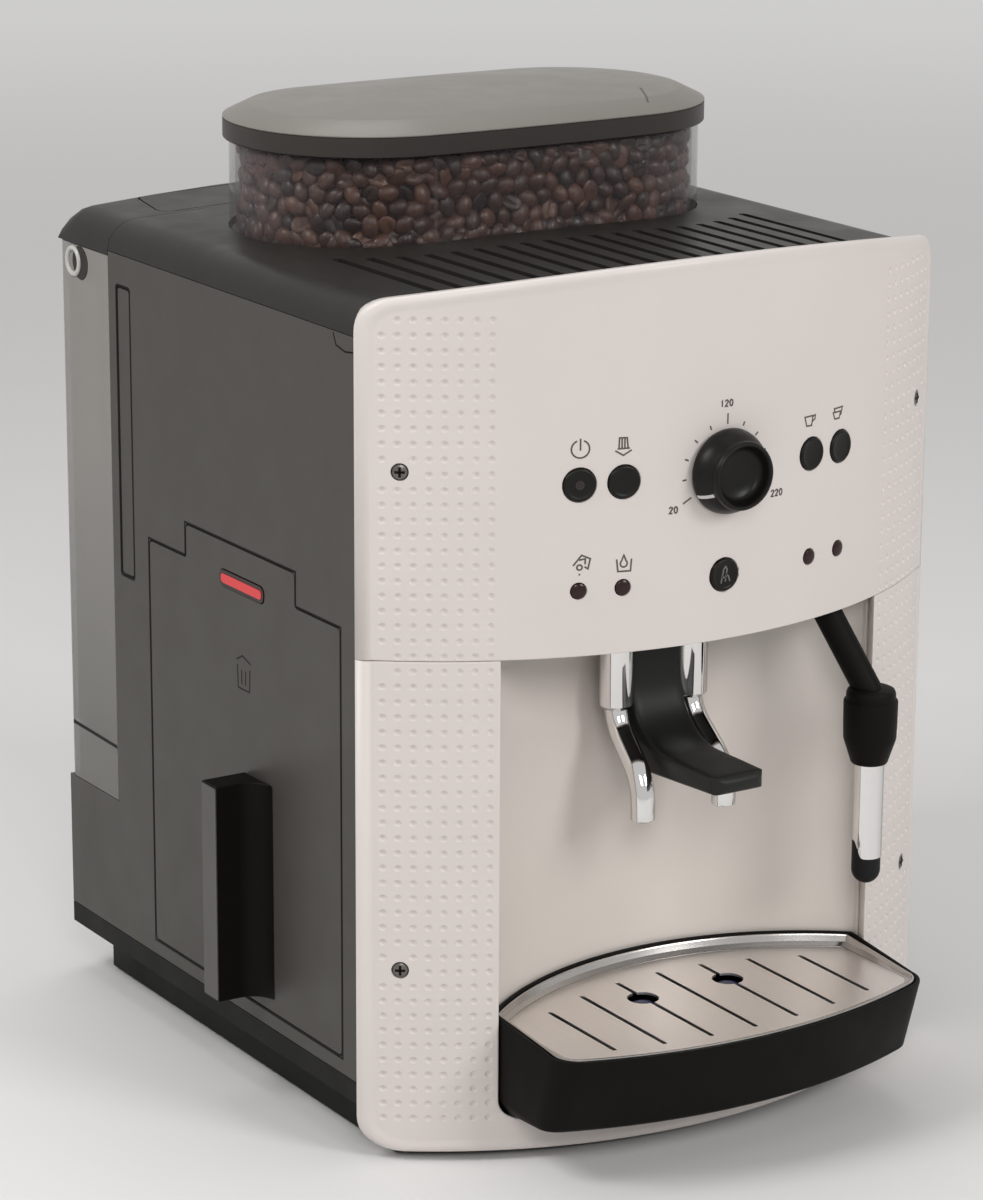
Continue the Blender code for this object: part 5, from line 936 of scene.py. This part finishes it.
def make_outlet():
    for side in ("left", "right"):
        name = "coffee_tube_" + side
        low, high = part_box(name)
        x, y, foot = (low.x + high.x) / 2, high.y - TUBE_RADIUS, high.z - TUBE_FOOT_RISE
        profile = [(TUBE_RADIUS - TUBE_EASE, high.z), (TUBE_RADIUS, high.z - TUBE_EASE)]
        profile += [(r, foot + h) for r, h in SLEEVE_FOOT]
        root_x, root_y = x - math.copysign(SLEEVE_INWARDS, x), y + SLEEVE_BACK
        put(turned(name + "_sleeve", profile, at(root_x, root_y, 0)), "outlet", "chrome", None,
            name)
        bend_z = low.z + NOZZLE_BEND_RISE
        forward = y - NOZZLE_FORWARD
        path = [Vector((root_x, root_y, foot + h)) for r, h in NOZZLE_NECK]
        path += rounded_path([path.pop(), (root_x, root_y, bend_z + NOZZLE_FORWARD),
                              (x, forward, bend_z), (x, forward, low.z + NOZZLE_TIP[0][1])],
                             NOZZLE_BEND)
        radii = [r for r, h in NOZZLE_NECK[:-1]]
        radii += [NOZZLE_RADIUS] * (len(path) - len(radii))
        path += [Vector((x, forward, low.z + h)) for r, h in NOZZLE_TIP[1:]]
        radii += [r for r, h in NOZZLE_TIP[1:]]
        put(sweep(name + "_nozzle", path, radii, NOZZLE_BORE), "outlet", "chrome", None, name)
    body_low, body_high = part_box("outlet_body")
    nose, back = body_low.y, body_high.y
    front = nose + BEAK_REACH - STEM_FRONT + STEM_SET_BACK
    low, top = body_low.z, body_low.z + BEAK_TOP_RISE
    chin = low + BEAK_CHIN + BEAK_NOSE
    side = [(back, body_high.z), (front, body_high.z)]
    side += [(front - BEAK_THROAT + y, top + z) for y, z in
             arc((0, BEAK_THROAT), BEAK_THROAT, 360, 270, 2 * CORNER)]
    side += arc((nose + BEAK_NOSE, top - BEAK_NOSE), BEAK_NOSE, 90, 180)
    side += arc((nose + BEAK_NOSE, chin), BEAK_NOSE, 180, 270)
    side += [(back - BEAK_THROAT / 2, low), (back, low + BEAK_THROAT / 2)]
    side = [Vector(p) for p in side]
    rings = []
    for k in range(-CORNER, CORNER + 1):
        turn = math.pi / 2 * abs(k) / CORNER
        reach = BEAK_HALF - BEAK_CORNER + BEAK_CORNER * math.sin(turn)
        pull = nose + BEAK_CORNER * (1 - math.cos(turn))
        x = math.copysign(reach, k) if k else 0
        rings.append([(x, max(y, pull), z)
                      for y, z in shrunk(side, BEAK_EDGE * (1 - math.cos(turn)) ** 2)])
    put(loft("outlet_beak", rings, angle=30), "outlet", "black_plastic", "outlet_black",
        "outlet_body")


def make_wand():
    grip_low, grip_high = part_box("steam_grip")
    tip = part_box("steam_tip")[0].z
    pivot = next(j for j in frame["joints"] if j["name"] == "wand_swing")["pos_m"]
    x, y = (grip_low.x + grip_high.x) / 2, (grip_low.y + grip_high.y) / 2
    elbow = (pivot[0], pivot[1], pivot[2] - WAND_ARM_DROP)
    path = rounded_path([pivot, elbow, (x, y, grip_high.z - WAND_ARM_SINK)], WAND_BEND)
    radii = [WAND_ARM_RADIUS * WAND_ARM_SWELL] + [WAND_ARM_RADIUS] * (len(path) - 1)
    put(sweep("wand_arm", path, radii), "steam_wand", "black_plastic", "tray_black", "steam_arm")
    put(turned("wand_grip", GRIP_PROFILE, at(x, y, grip_high.z), angle=25), "steam_wand",
        "black_plastic", "tray_black", "steam_grip")
    foot, radius = grip_low.z + WAND_TUBE_SINK, WAND_TUBE_RADIUS
    rings = []
    for share in (0, 0.5, 1):
        ring = []
        for t in around(FINE):
            lean = math.sin(t - math.radians(WAND_TIP_ANGLE))
            low = tip + WAND_TIP_LENGTH + WAND_TIP_STEP / (1 + math.exp(-WAND_TIP_SHARP * lean))
            ring.append((x + radius * math.cos(t), y + radius * math.sin(t),
                         low + (foot - low) * share))
        rings.append(ring)
    put(loft("wand_tube", rings, angle=60), "steam_wand", "chrome", None, "steam_tube")
    core = radius - WAND_CORE_GAP
    profile = [(core * math.sin(a), tip + core * (1 - math.cos(a)))
               for a in map(math.radians, WAND_TIP_TURNS)]
    profile += [(core, tip + WAND_TIP_LENGTH + WAND_TIP_STEP + WAND_CORE_SINK)]
    put(turned("wand_tip", profile, at(x, y, 0)), "steam_wand", "rubber", None, "steam_tip")


# Drip tray

TRAY_HALF = 0.0799
TRAY_RADIUS = 0.205
TRAY_CORNER = 0.0125
TRAY_CORNER_MIN = 0.0008
TRAY_RISE = 0.004
TRAY_TUCK = 0.009
# Rows of inset, share of the way from heel to chin, step in y, front and back rise, corner
TRAY_UNDER = ((0.007, 0, -0.007, 0, 0, 0.0025), (0.0035, 0.5, 0, 0.00185, 0.0008, 0.004),
              (0.0006, 1, 0.0012, 0.0043, 0.006, 0.009), (0, 1, -0.0004, 0.0059, 0.008, 0.0125))
TRAY_FLOOR = ((0.0041, 1, 0, 0.008, 0.006, 0.0125), (0.007, 0, -0.007, 0.0025, 0.0025, 0.0025))
TRAY_LIP = mm((0, 0.3, -0.8), (0.3, 0, -0.2), (0.9, 0, 0), (1.6, 0, -0.2), (1.9, 0, -0.8))
TRAY_LEDGE = (0.0019, 0.0041)
TRAY_LEDGE_DROP = 0.0055
RIM_SECTION = mm((2.3, -0.9), (2.3, 0), (2.45, 0.4), (2.8, 0.55), (3.2, 0.45), (3.5, 0))
RIM_FOOT = mm((3.8, 0.9), (4.2, 0.35), (4.9, 0.12), (5.8, 0.05), (5.8, -0.3))
RIM_FRONT_RISE = 0.0007
RIM_BACK_RISE = 0.0036
FLOAT_PROFILE = mm((9, 0), (9, 7), (4.6, 7.4))
FLOAT_TOP = mm((4.6, -3.3), (4.4, -2.8), (3.6, -2.3), (2, -2), (0.3, -1.9))


def make_tray():
    low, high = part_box("drip_tray")
    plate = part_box("tray_plate")[1].z
    heel, chin = FACADE_FRONT_Y - SLIDE_GAP, low.y + TRAY_TUCK
    rim_back, rim = high.z, high.z - TRAY_RISE
    rear = FRONT_Y + NICHE_REAR
    sag = rear - facade_y(NICHE_HALF, FACADE_THICKNESS) - NICHE_SIDE_STEP
    radius = (NICHE_HALF ** 2 + sag ** 2) / (2 * sag)

    def ring(inset, y, front_z, back_z, corner=TRAY_CORNER):
        """The tray's plan, inset from its outline: the bowed front and the curved back."""
        half = TRAY_HALF - inset
        front = bowed_edge(half, y + inset, TRAY_RADIUS - inset,
                           max(corner - inset, TRAY_CORNER_MIN), -1)
        steps = [half - 2 * half * i / BOW for i in range(BOW + 1)]
        return ([(u, v, front_z) for u, v in front]
                + [(u, rear - radius + math.sqrt((radius - SLIDE_GAP) ** 2 - u ** 2) - inset,
                    back_z) for u in steps])

    def deep(rows):
        return [ring(inset, heel + (chin - heel) * share + step, low.z + front, low.z + back,
                     corner) for inset, share, step, front, back, corner in rows]
    rings = deep(TRAY_UNDER)
    rings += [ring(inset, low.y + step, rim + rise, rim_back + rise)
              for inset, step, rise in TRAY_LIP]
    rings += [ring(inset, low.y, rim - TRAY_LEDGE_DROP, rim - TRAY_LEDGE_DROP)
              for inset in TRAY_LEDGE]
    put(loft("tray_body", rings + deep(TRAY_FLOOR), angle=40), "tray", "black_plastic",
        "tray_black", "drip_tray")
    rings = [ring(inset, low.y, plate + RIM_FRONT_RISE + z, plate + RIM_BACK_RISE + z)
             for inset, z in RIM_SECTION]
    rings += [ring(inset, low.y, plate + min(z, RIM_FRONT_RISE), plate + z)
              for inset, z in RIM_FOOT]
    put(loft("plate_rim", rings, True, 40), "tray_plate", "brushed_steel", "polished_steel")
    for name in ("float_left", "float_right"):
        foot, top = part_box(name)
        place = at((foot.x + top.x) / 2, (foot.y + top.y) / 2, 0)
        profile = [(r, foot.z + h) for r, h in FLOAT_PROFILE]
        profile += [(r, top.z + h) for r, h in FLOAT_TOP]
        put(turned(name + "_cap", profile, place, ROUND), name, "blue_float", None, name)


# Hopper, lid and beans

HOPPER_RADIUS = 0.930
HOPPER_END = 0.049
HOPPER_WALL = 0.0022
HOPPER_FACETS = 16
LID_BAND = mm((-4.2, 6), (-4.2, 0.2), (-4, 0), (1.8, 0), (2.15, 0.4), (2.15, 7.2), (1.6, 7.4))
LID_SHOULDER = mm((0, 7.2), (1.9, 7.35), (2.2, 7.6), (2.15, 7.9), (1.8, 8.2))
LID_TOP = mm((-6.9, -2.62), (-7.3, -2.48), (-7.9, -2.35))
LID_MARK = ((0.0577, -0.0169), (0.0501, -0.0333))
LID_MARK_WIDTH = 0.0009
DOME_STEPS = 5
DOME_DEPTH = 0.0416
DOME_RISE = 0.00235
RIB_X = (-0.0448, 0.0469)
RIB_WIDTH = 0.0012
RIB_DEPTH = 0.0008
BEAN = (0.0047, 0.0036, 0.0026)
BEAN_ROUND = 10
BEAN_SHARES = (0.0, 0.42, 0.72, 0.93, 1.0)
BEAN_BELLY = 0.45
BEAN_CREASE = 0.12
BEAN_CREASE_HALF = 0.15
BEAN_STEP = 0.0069
BEAN_TOP_STEP = 1.1
BEAN_RISE = 0.0056
BEAN_GAP = 0.0003
BEAN_SPARE = 0.0012
BEAN_LAYER = 0.0042
BEAN_JITTER = 0.0008
BEAN_TILT = 0.55
BEAN_SIZES = (0.86, 1.08)
BEAN_TURN = 6.28
BEAN_FACE_OUT = 0.7
BEAN_SEED = 7
BED_SINK = 0.0055
BED_GAP = 0.0006
CORE_INSET = 0.0087
CORE_FOOT = 0.001
CORE_DROP = 0.004


def oval(grow, z=None):
    """Plan of the hopper, grown by grow, or a ring of it at z."""
    low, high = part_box("hopper")
    middle = (low.y + high.y) / 2
    half, peak = high.x + grow, (high.y - low.y) / 2 + grow
    points = [p for sign in (1, -1) for p in bowed_edge(
        half, middle + sign * peak, HOPPER_RADIUS + grow, HOPPER_END + grow, sign, HOPPER_FACETS,
        HOPPER_FACETS)]
    return points if z is None else [(x, y, z) for x, y in points]


def bean_shape():
    """Points and faces of one coffee bean, flat and creased below, about its middle."""
    vertices, rows = [], []
    for side, share in [(s, share) for s in (1, -1) for share in BEAN_SHARES[:-1]] + [(0, 1)]:
        rows.append(range(len(vertices), len(vertices) + BEAN_ROUND))
        for t in around(BEAN_ROUND):
            x, y, rise = share * math.cos(t), share * math.sin(t), math.sqrt(1 - share ** 2)
            if side < 0:
                rise *= BEAN_BELLY if abs(y) > BEAN_CREASE_HALF else BEAN_CREASE
            vertices.append((x, y, side * rise))
    count, rim = len(BEAN_SHARES) - 1, rows[-1:]
    faces = [(a, d, c, b) for a, b, c, d in bands(rows[:count] + rim)]
    return vertices, faces + bands(rows[count:-1] + rim)


def bean_spots(low, high, floor_z, top_z):
    """Points along the hopper's wall in two layers, and then on top, with the way inwards."""
    wall = [Vector(p) for p in oval(-HOPPER_WALL)]
    marks, spots, travel = [], [], 0.0
    for a, b in zip(wall, wall[1:] + wall[:1]):
        length = (b - a).length
        inward = Vector((-(b - a).y, (b - a).x)).normalized() if length > TINY else None
        while inward and travel < length:
            marks.append((a.lerp(b, travel / length), inward))
            travel += BEAN_STEP
        travel -= length
    for layer in range(2):
        for row in range(int((top_z - floor_z) / BEAN_RISE) + 1):
            z = floor_z + BEAN_RISE * (row + 0.5 * layer)
            for k, (point, inward) in enumerate(marks):
                if row % 2 and k + 1 < len(marks):
                    point = point.lerp(marks[k + 1][0], 0.5)
                spots.append((point, inward, z, layer))
    pitch, rim = BEAN_STEP * BEAN_TOP_STEP, oval(-HOPPER_WALL - BEAN[0])
    for i in range(int(2 * high.x / pitch)):
        for k in range(int((high.y - low.y) / pitch)):
            point = Vector((-high.x + pitch * (i + k % 2 / 2), low.y + pitch * k))
            if inside(point, [Vector(p) for p in rim]):
                spots.append((point, None, top_z - BEAN[1], 0))
    return spots


def make_beans():
    """Beans along the hopper's wall and on top, round a core in the darkest bean colour, painted
    shade behind and between the beans.
    """
    low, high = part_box("hopper")
    floor_z, top_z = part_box("top_cover")[1].z - BED_SINK, high.z - BED_GAP
    draw = random.Random(BEAN_SEED)
    shape, shape_faces = bean_shape()
    vertices, faces, shades = [], [], []
    for point, inward, z, layer in bean_spots(low, high, floor_z, top_z):
        axis = Vector((inward.x, inward.y, 0)) if inward else Vector((0, 0, -1))
        tilt = Vector([draw.uniform(-BEAN_TILT, BEAN_TILT) for _ in range(3)])
        thick = (tilt - axis if draw.random() < BEAN_FACE_OUT else tilt + axis).normalized()
        long_axis = thick.orthogonal().normalized()
        long_axis.rotate(Matrix.Rotation(draw.uniform(0, BEAN_TURN), 3, thick))
        size = draw.uniform(*BEAN_SIZES)
        axes = [v * s * size for v, s in zip((long_axis, thick.cross(long_axis), thick), BEAN)]
        reach = math.sqrt(sum(a.dot(axis) ** 2 for a in axes))
        lift = math.sqrt(sum(a.z ** 2 for a in axes))
        centre = Vector((point.x, point.y, z + draw.uniform(-BEAN_JITTER, BEAN_JITTER)))
        if inward:
            centre += axis * (reach + BEAN_GAP + draw.uniform(0, BEAN_SPARE) + layer * BEAN_LAYER)
        centre.z = min(max(centre.z, floor_z + lift), top_z - lift)
        first = len(vertices)
        vertices += [centre + axes[0] * v[0] + axes[1] * v[1] + axes[2] * v[2] for v in shape]
        shades += [draw.random()] * len(shape)
        faces += [tuple(first + i for i in face) for face in shape_faces]
    # the core takes the darkest bean colour: painted shade behind the beans
    rows = []
    for z in (floor_z + CORE_FOOT, top_z - CORE_DROP):
        ring = oval(-CORE_INSET, z)
        rows.append(range(len(vertices), len(vertices) + len(ring)))
        vertices += ring
        shades += [0.0] * len(ring)
    faces += bands(rows) + [tuple(rows[0])[::-1], tuple(rows[1])]
    mesh = bpy.data.meshes.new("coffee_beans")
    mesh.from_pydata(vertices, [], faces)
    mesh.shade_smooth()
    mesh.attributes.new("shade", "FLOAT", "POINT").data.foreach_set("value", shades)
    put(linked(mesh, "coffee_beans"), "machine", None, "roasted_bean")


def make_hopper():
    low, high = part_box("hopper_lid")
    # the rim is the lid's own silver grey, painted darker as shade
    put(loft("lid_rim", [oval(grow, low.z + z) for grow, z in LID_BAND], angle=40), "lid",
        "silver_grey_lid", "lid_painted_shade_and_mark", "hopper_lid")
    rings = [oval(grow, low.z + z) for grow, z in LID_SHOULDER]
    rings += [oval(grow, high.z + z) for grow, z in LID_TOP]
    start, edge = LID_TOP[-1]
    for share in [step / DOME_STEPS for step in range(1, DOME_STEPS + 1)]:
        rings.append(oval(start - (DOME_DEPTH + start) * share,
                          high.z + edge + DOME_RISE * (1 - (1 - share) ** 2)))
    shell = loft("lid_shell", rings, angle=18)
    put(shell, "lid", "silver_grey_lid", None, "hopper_lid")
    tree = BVHTree.FromPolygons([v.co for v in shell.data.vertices],
                                [p.vertices for p in shell.data.polygons])

    def on_lid(u, v, w):
        hit = tree.ray_cast(Vector((u, v, high.z + SLIDE_GAP)), Vector((0, 0, -1)))[0]
        return Vector((u, v, hit.z + w))
    put(strokes("lid_mark", [LID_MARK], LID_MARK_WIDTH, -INK_HEIGHT, INK_HEIGHT, on_lid), "lid",
        None, "dark_ink")
    wall = [Vector(p) for p in oval(0)]
    foot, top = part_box("top_cover")[1].z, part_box("hopper")[1].z
    for side, x in zip(("left", "right"), RIB_X):
        a, b = next((a, b) for a, b in zip(wall, wall[1:] + wall[:1])
                    if min(a.x, b.x) <= x < max(a.x, b.x) and a.y < high.y - HOPPER_END)
        y = a.y + (b.y - a.y) * (x - a.x) / (b.x - a.x)
        outline = [(x + i * RIB_WIDTH / 2, y + k * RIB_DEPTH)
                   for i, k in ((-1, 0.2), (1, 0.2), (1, -1), (-1, -1))]
        put(prism("hopper_line_" + side, outline, foot, top), "machine", "clear_hopper")
    make_beans()


# Sides, tank and drawer

GRIP_BACK_GAP = 0.006
GRIP_WIDTH = 0.011
GRIP_HEIGHT = 0.112
GRIP_TOP_GAP = 0.0115
GRIP_SINK = 0.0012
GRIP_GROOVE = 0.0011
GRIP_CORNER = 0.0014
GRIP_LEVEL = 0.0002
LINE_WIDTH = 0.0006
LINE_RISE = 0.00005
# width of the dark strips of painted shade round the gaps
PAINTED_GAP_SHADE_WIDTH = 0.0008
DOOR_GAP = 0.0005
DOOR_STEP_RISE = 0.0126
DOOR_STEP_FRONT = 0.0315
DOOR_STEP_BACK = 0.0290
TAB_LINE = mm((-96.3, 296.9), (-98.3, 292.8), (-104.3, 291.5), (-110.4, 292.2))
BIN_MARK = (mm((-25.7, 161.5), (-26.2, 152.8), (-34.6, 152.8), (-35.1, 161.3)),
            mm((-28.8, 160), (-29, 154.6)), mm((-31.8, 160), (-31.7, 154.6)),
            mm((-25.2, 163.2), (-29.6, 165.4), (-35.6, 163.6)))
WINDOW_BORDER = 0.0014
WINDOW_PROUD = 0.0002
PIN_BACK_SHARE = 0.554
PIN_DROP = 0.0065
RING_RADIUS = 0.0050
RING_THICKNESS = 0.0010
RING_POINTS = 16
TANK_SEAM = mm((71.7, 102.4), (109.0, 103.2), (109.0, 104.6), (71.7, 103.8))
HANDLE_FLARE = 0.009
HANDLE_BAR = 0.011
HANDLE_EASE = 0.0007
HANDLE_EASE_SHARE = 0.6
HANDLE_SKIN = 0.0004


def make_sides():
    """The grip slots' inserts with painted shade round their gaps, painted shade round the door's gap
    and the tab line on the left panel, the mark on the drawer.
    """
    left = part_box("left_panel")[0].x
    back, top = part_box("top_cover")[1].y - GRIP_BACK_GAP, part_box("left_panel")[1].z - GRIP_TOP_GAP
    slot, insert = [pill(back - GRIP_WIDTH + inset, top - GRIP_HEIGHT + inset, back - inset,
                         top - inset, GRIP_CORNER) for inset in (0, GRIP_GROOVE)]

    def draw(name, lines, width, body="machine", look="tray_black", sign=1):
        put(strokes(name, lines, width, -LINE_RISE, LINE_RISE,
                    lambda u, v, w: Vector((sign * (left - w), u, v))), body, None, look)
    for side, sign in (("left", 1), ("right", -1)):
        ends = sorted((sign * (left + GRIP_LEVEL), sign * (left + GRIP_SINK)))
        put(prism("grip_insert_" + side, insert, *ends, "x"), "machine", "dark_grey_shell")
        # dark strip round the grip slot's gap: painted shade
        draw("grip_gap_painted_shade_" + side, [slot + slot[:1]], PAINTED_GAP_SHADE_WIDTH, sign=sign)
    low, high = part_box("drawer_front")
    out = DOOR_GAP + PAINTED_GAP_SHADE_WIDTH / 2
    front, rear, floor, roof = low.y - out, high.y + out, low.z - out, high.z + out
    shelf, lead, tail = roof - DOOR_STEP_RISE, front + DOOR_STEP_FRONT, rear - DOOR_STEP_BACK
    door = [(front, floor), (rear, floor), (rear, shelf), (tail, shelf), (tail, roof),
            (lead, roof), (lead, shelf), (front, shelf), (front, floor)]
    # dark strip round the door's gap: painted shade
    draw("door_gap_painted_shade", [door], PAINTED_GAP_SHADE_WIDTH)
    draw("panel_tab_line", [TAB_LINE], LINE_WIDTH)
    draw("drawer_mark", BIN_MARK, LINE_WIDTH, "drawer", "base_black")


def make_tank():
    """Rings round the cap's pins, painted light grey as a glint, and the seam low on the tank's
    sides.
    """
    low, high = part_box("tank")
    pin_y, pin_z = low.y + (high.y - low.y) * PIN_BACK_SHARE, high.z - PIN_DROP
    for side, x, turn in (("left", low.x, -90), ("right", high.x, 90)):
        place = at(x, pin_y, pin_z) @ spin(math.radians(turn), "Y")
        profile = [(RING_RADIUS + v, u) for u, v in arc((0, 0), RING_THICKNESS, 0, 360,
                                                        RING_POINTS)[:-1]]
        # the ring's light grey is a painted glint
        put(turned("tank_ring_" + side, profile, place, ROUND, True), "tank", "smoked_tank",
            "glint")
        ends = sorted((x * (1 - LINE_RISE), x + math.copysign(LINE_RISE, x)))
        put(prism("tank_seam_" + side, TANK_SEAM, *ends, "x"), "tank", "smoked_tank", "base_black")


def make_drawer():
    """The drawer's red window in its dark border, and its upright handle."""
    low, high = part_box("drawer_window")
    for name, edge, start, look in (("window_border", 0, WINDOW_PROUD, "dark_red_lamp"),
                                    ("window_lens", WINDOW_BORDER, 0, None)):
        outline = pill(low.y + edge, low.z + edge, high.y - edge, high.z - edge,
                       (high.z - low.z) / 2 - edge - CLEARANCE)
        put(prism(name, outline, low.x + start, high.x, "x"), "drawer", "red_window", look,
            "drawer_window")
    low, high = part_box("drawer_handle")
    tip, foot, back = low.x, high.x, high.y
    front = back - HANDLE_BAR
    plan = [(foot, back), (tip + HANDLE_SKIN, back), (tip + HANDLE_SKIN, front)]
    plan += arc((foot - HANDLE_FLARE, front - HANDLE_FLARE), HANDLE_FLARE, 90, 0)
    points, ease = [Vector(p) for p in plan], HANDLE_EASE * HANDLE_EASE_SHARE
    rings = [[(x, y, z) for x, y in shrunk(points, inset)] for inset, z in (
        (ease, low.z), (0, low.z + ease), (0, high.z - ease), (ease, high.z))]
    put(loft("handle_bar", rings), "drawer", "black_plastic", "tray_black", "drawer_handle")
    face = pill(front + HANDLE_EASE / 2, low.z + HANDLE_EASE, back - HANDLE_EASE / 2,
                high.z - HANDLE_EASE, HANDLE_EASE)
    put(prism("handle_face", face, tip, tip + 2 * HANDLE_SKIN, "x"), "drawer", "dark_grey_shell",
        "handle_grey", "drawer_handle")


# Camera, lamps and floor


def make_camera():
    data = bpy.data.cameras.new("camera")
    data.lens, data.sensor_width = CAMERA_LENS, CAMERA_SENSOR
    camera = linked(data, "camera")
    level = Vector((math.cos(CAMERA_YAW), -math.sin(CAMERA_YAW), 0))
    ahead = Vector((math.sin(CAMERA_YAW) * math.cos(CAMERA_PITCH),
                    math.cos(CAMERA_YAW) * math.cos(CAMERA_PITCH), -math.sin(CAMERA_PITCH)))
    upright = level.cross(ahead)
    cos, sin = math.cos(CAMERA_ROLL), math.sin(CAMERA_ROLL)
    axes = (cos * level + sin * upright, cos * upright - sin * level, -ahead)
    camera.matrix_world = at(*CAMERA_PLACE) @ Matrix(axes).transposed().to_4x4()
    bpy.context.scene.camera = camera


def floor_paint():
    """A pale floor that fades into the backdrop far from the object."""
    nodes = plastic("floor", FLOOR_COLOUR, 0.7, 0.2, 300.0, 0.00001, mottle=0.01)
    far = nodes.add("VectorMath", {0: nodes.place}, "Value", operation="LENGTH")
    fade = nodes.spread(far, 0.0, 1.0, *FLOOR_FADE, interpolation_type="SMOOTHSTEP")
    share = nodes.add("Math", {0: fade, 1: nodes.seen_rays()}, operation="MULTIPLY")
    nodes.show(nodes.mix(share, nodes.shader.outputs["BSDF"],
                         nodes.add("Emission", {"Color": BACKDROP_COLOUR})))


def make_stage():
    reach = FLOOR_REACH
    floor = prism("floor", [(-reach, -reach), (reach, -reach), (reach, reach), (-reach, reach)],
                  -FLOOR_THICKNESS, 0)
    floor_paint()
    floor.data.materials.append(finish["floor"])
    for name, place, size, power in LAMPS:
        data = bpy.data.lights.new(name, "AREA")
        data.shape, data.size, data.energy = "SQUARE", size, power
        lamp = linked(data, name)
        lamp.location = place
        lamp.rotation_mode = "QUATERNION"
        lamp.rotation_quaternion = (Vector(LAMP_AIM) - Vector(place)).to_track_quat("-Z", "Y")
    world = bpy.context.scene.world or bpy.data.worlds.new("studio")
    bpy.context.scene.world = world
    nodes = Nodes(world)
    nodes.tree.nodes.clear()
    light = nodes.add("Background", {"Color": WORLD_LIGHT_COLOUR, "Strength": WORLD_LIGHT})
    seen = nodes.add("Background", {"Color": BACKDROP_COLOUR})
    end = nodes.tree.nodes.new("ShaderNodeOutputWorld")
    nodes.fill(end, {"Surface": nodes.mix(nodes.seen_rays(), light, seen)})
    bpy.context.scene.view_settings.view_transform = "Standard"


make_camera()
make_stage()
dress_nodes()
make_facade()
make_screws()
make_sides()
make_tank()
make_drawer()
make_controls()
make_outlet()
make_wand()
make_tray()
make_hopper()
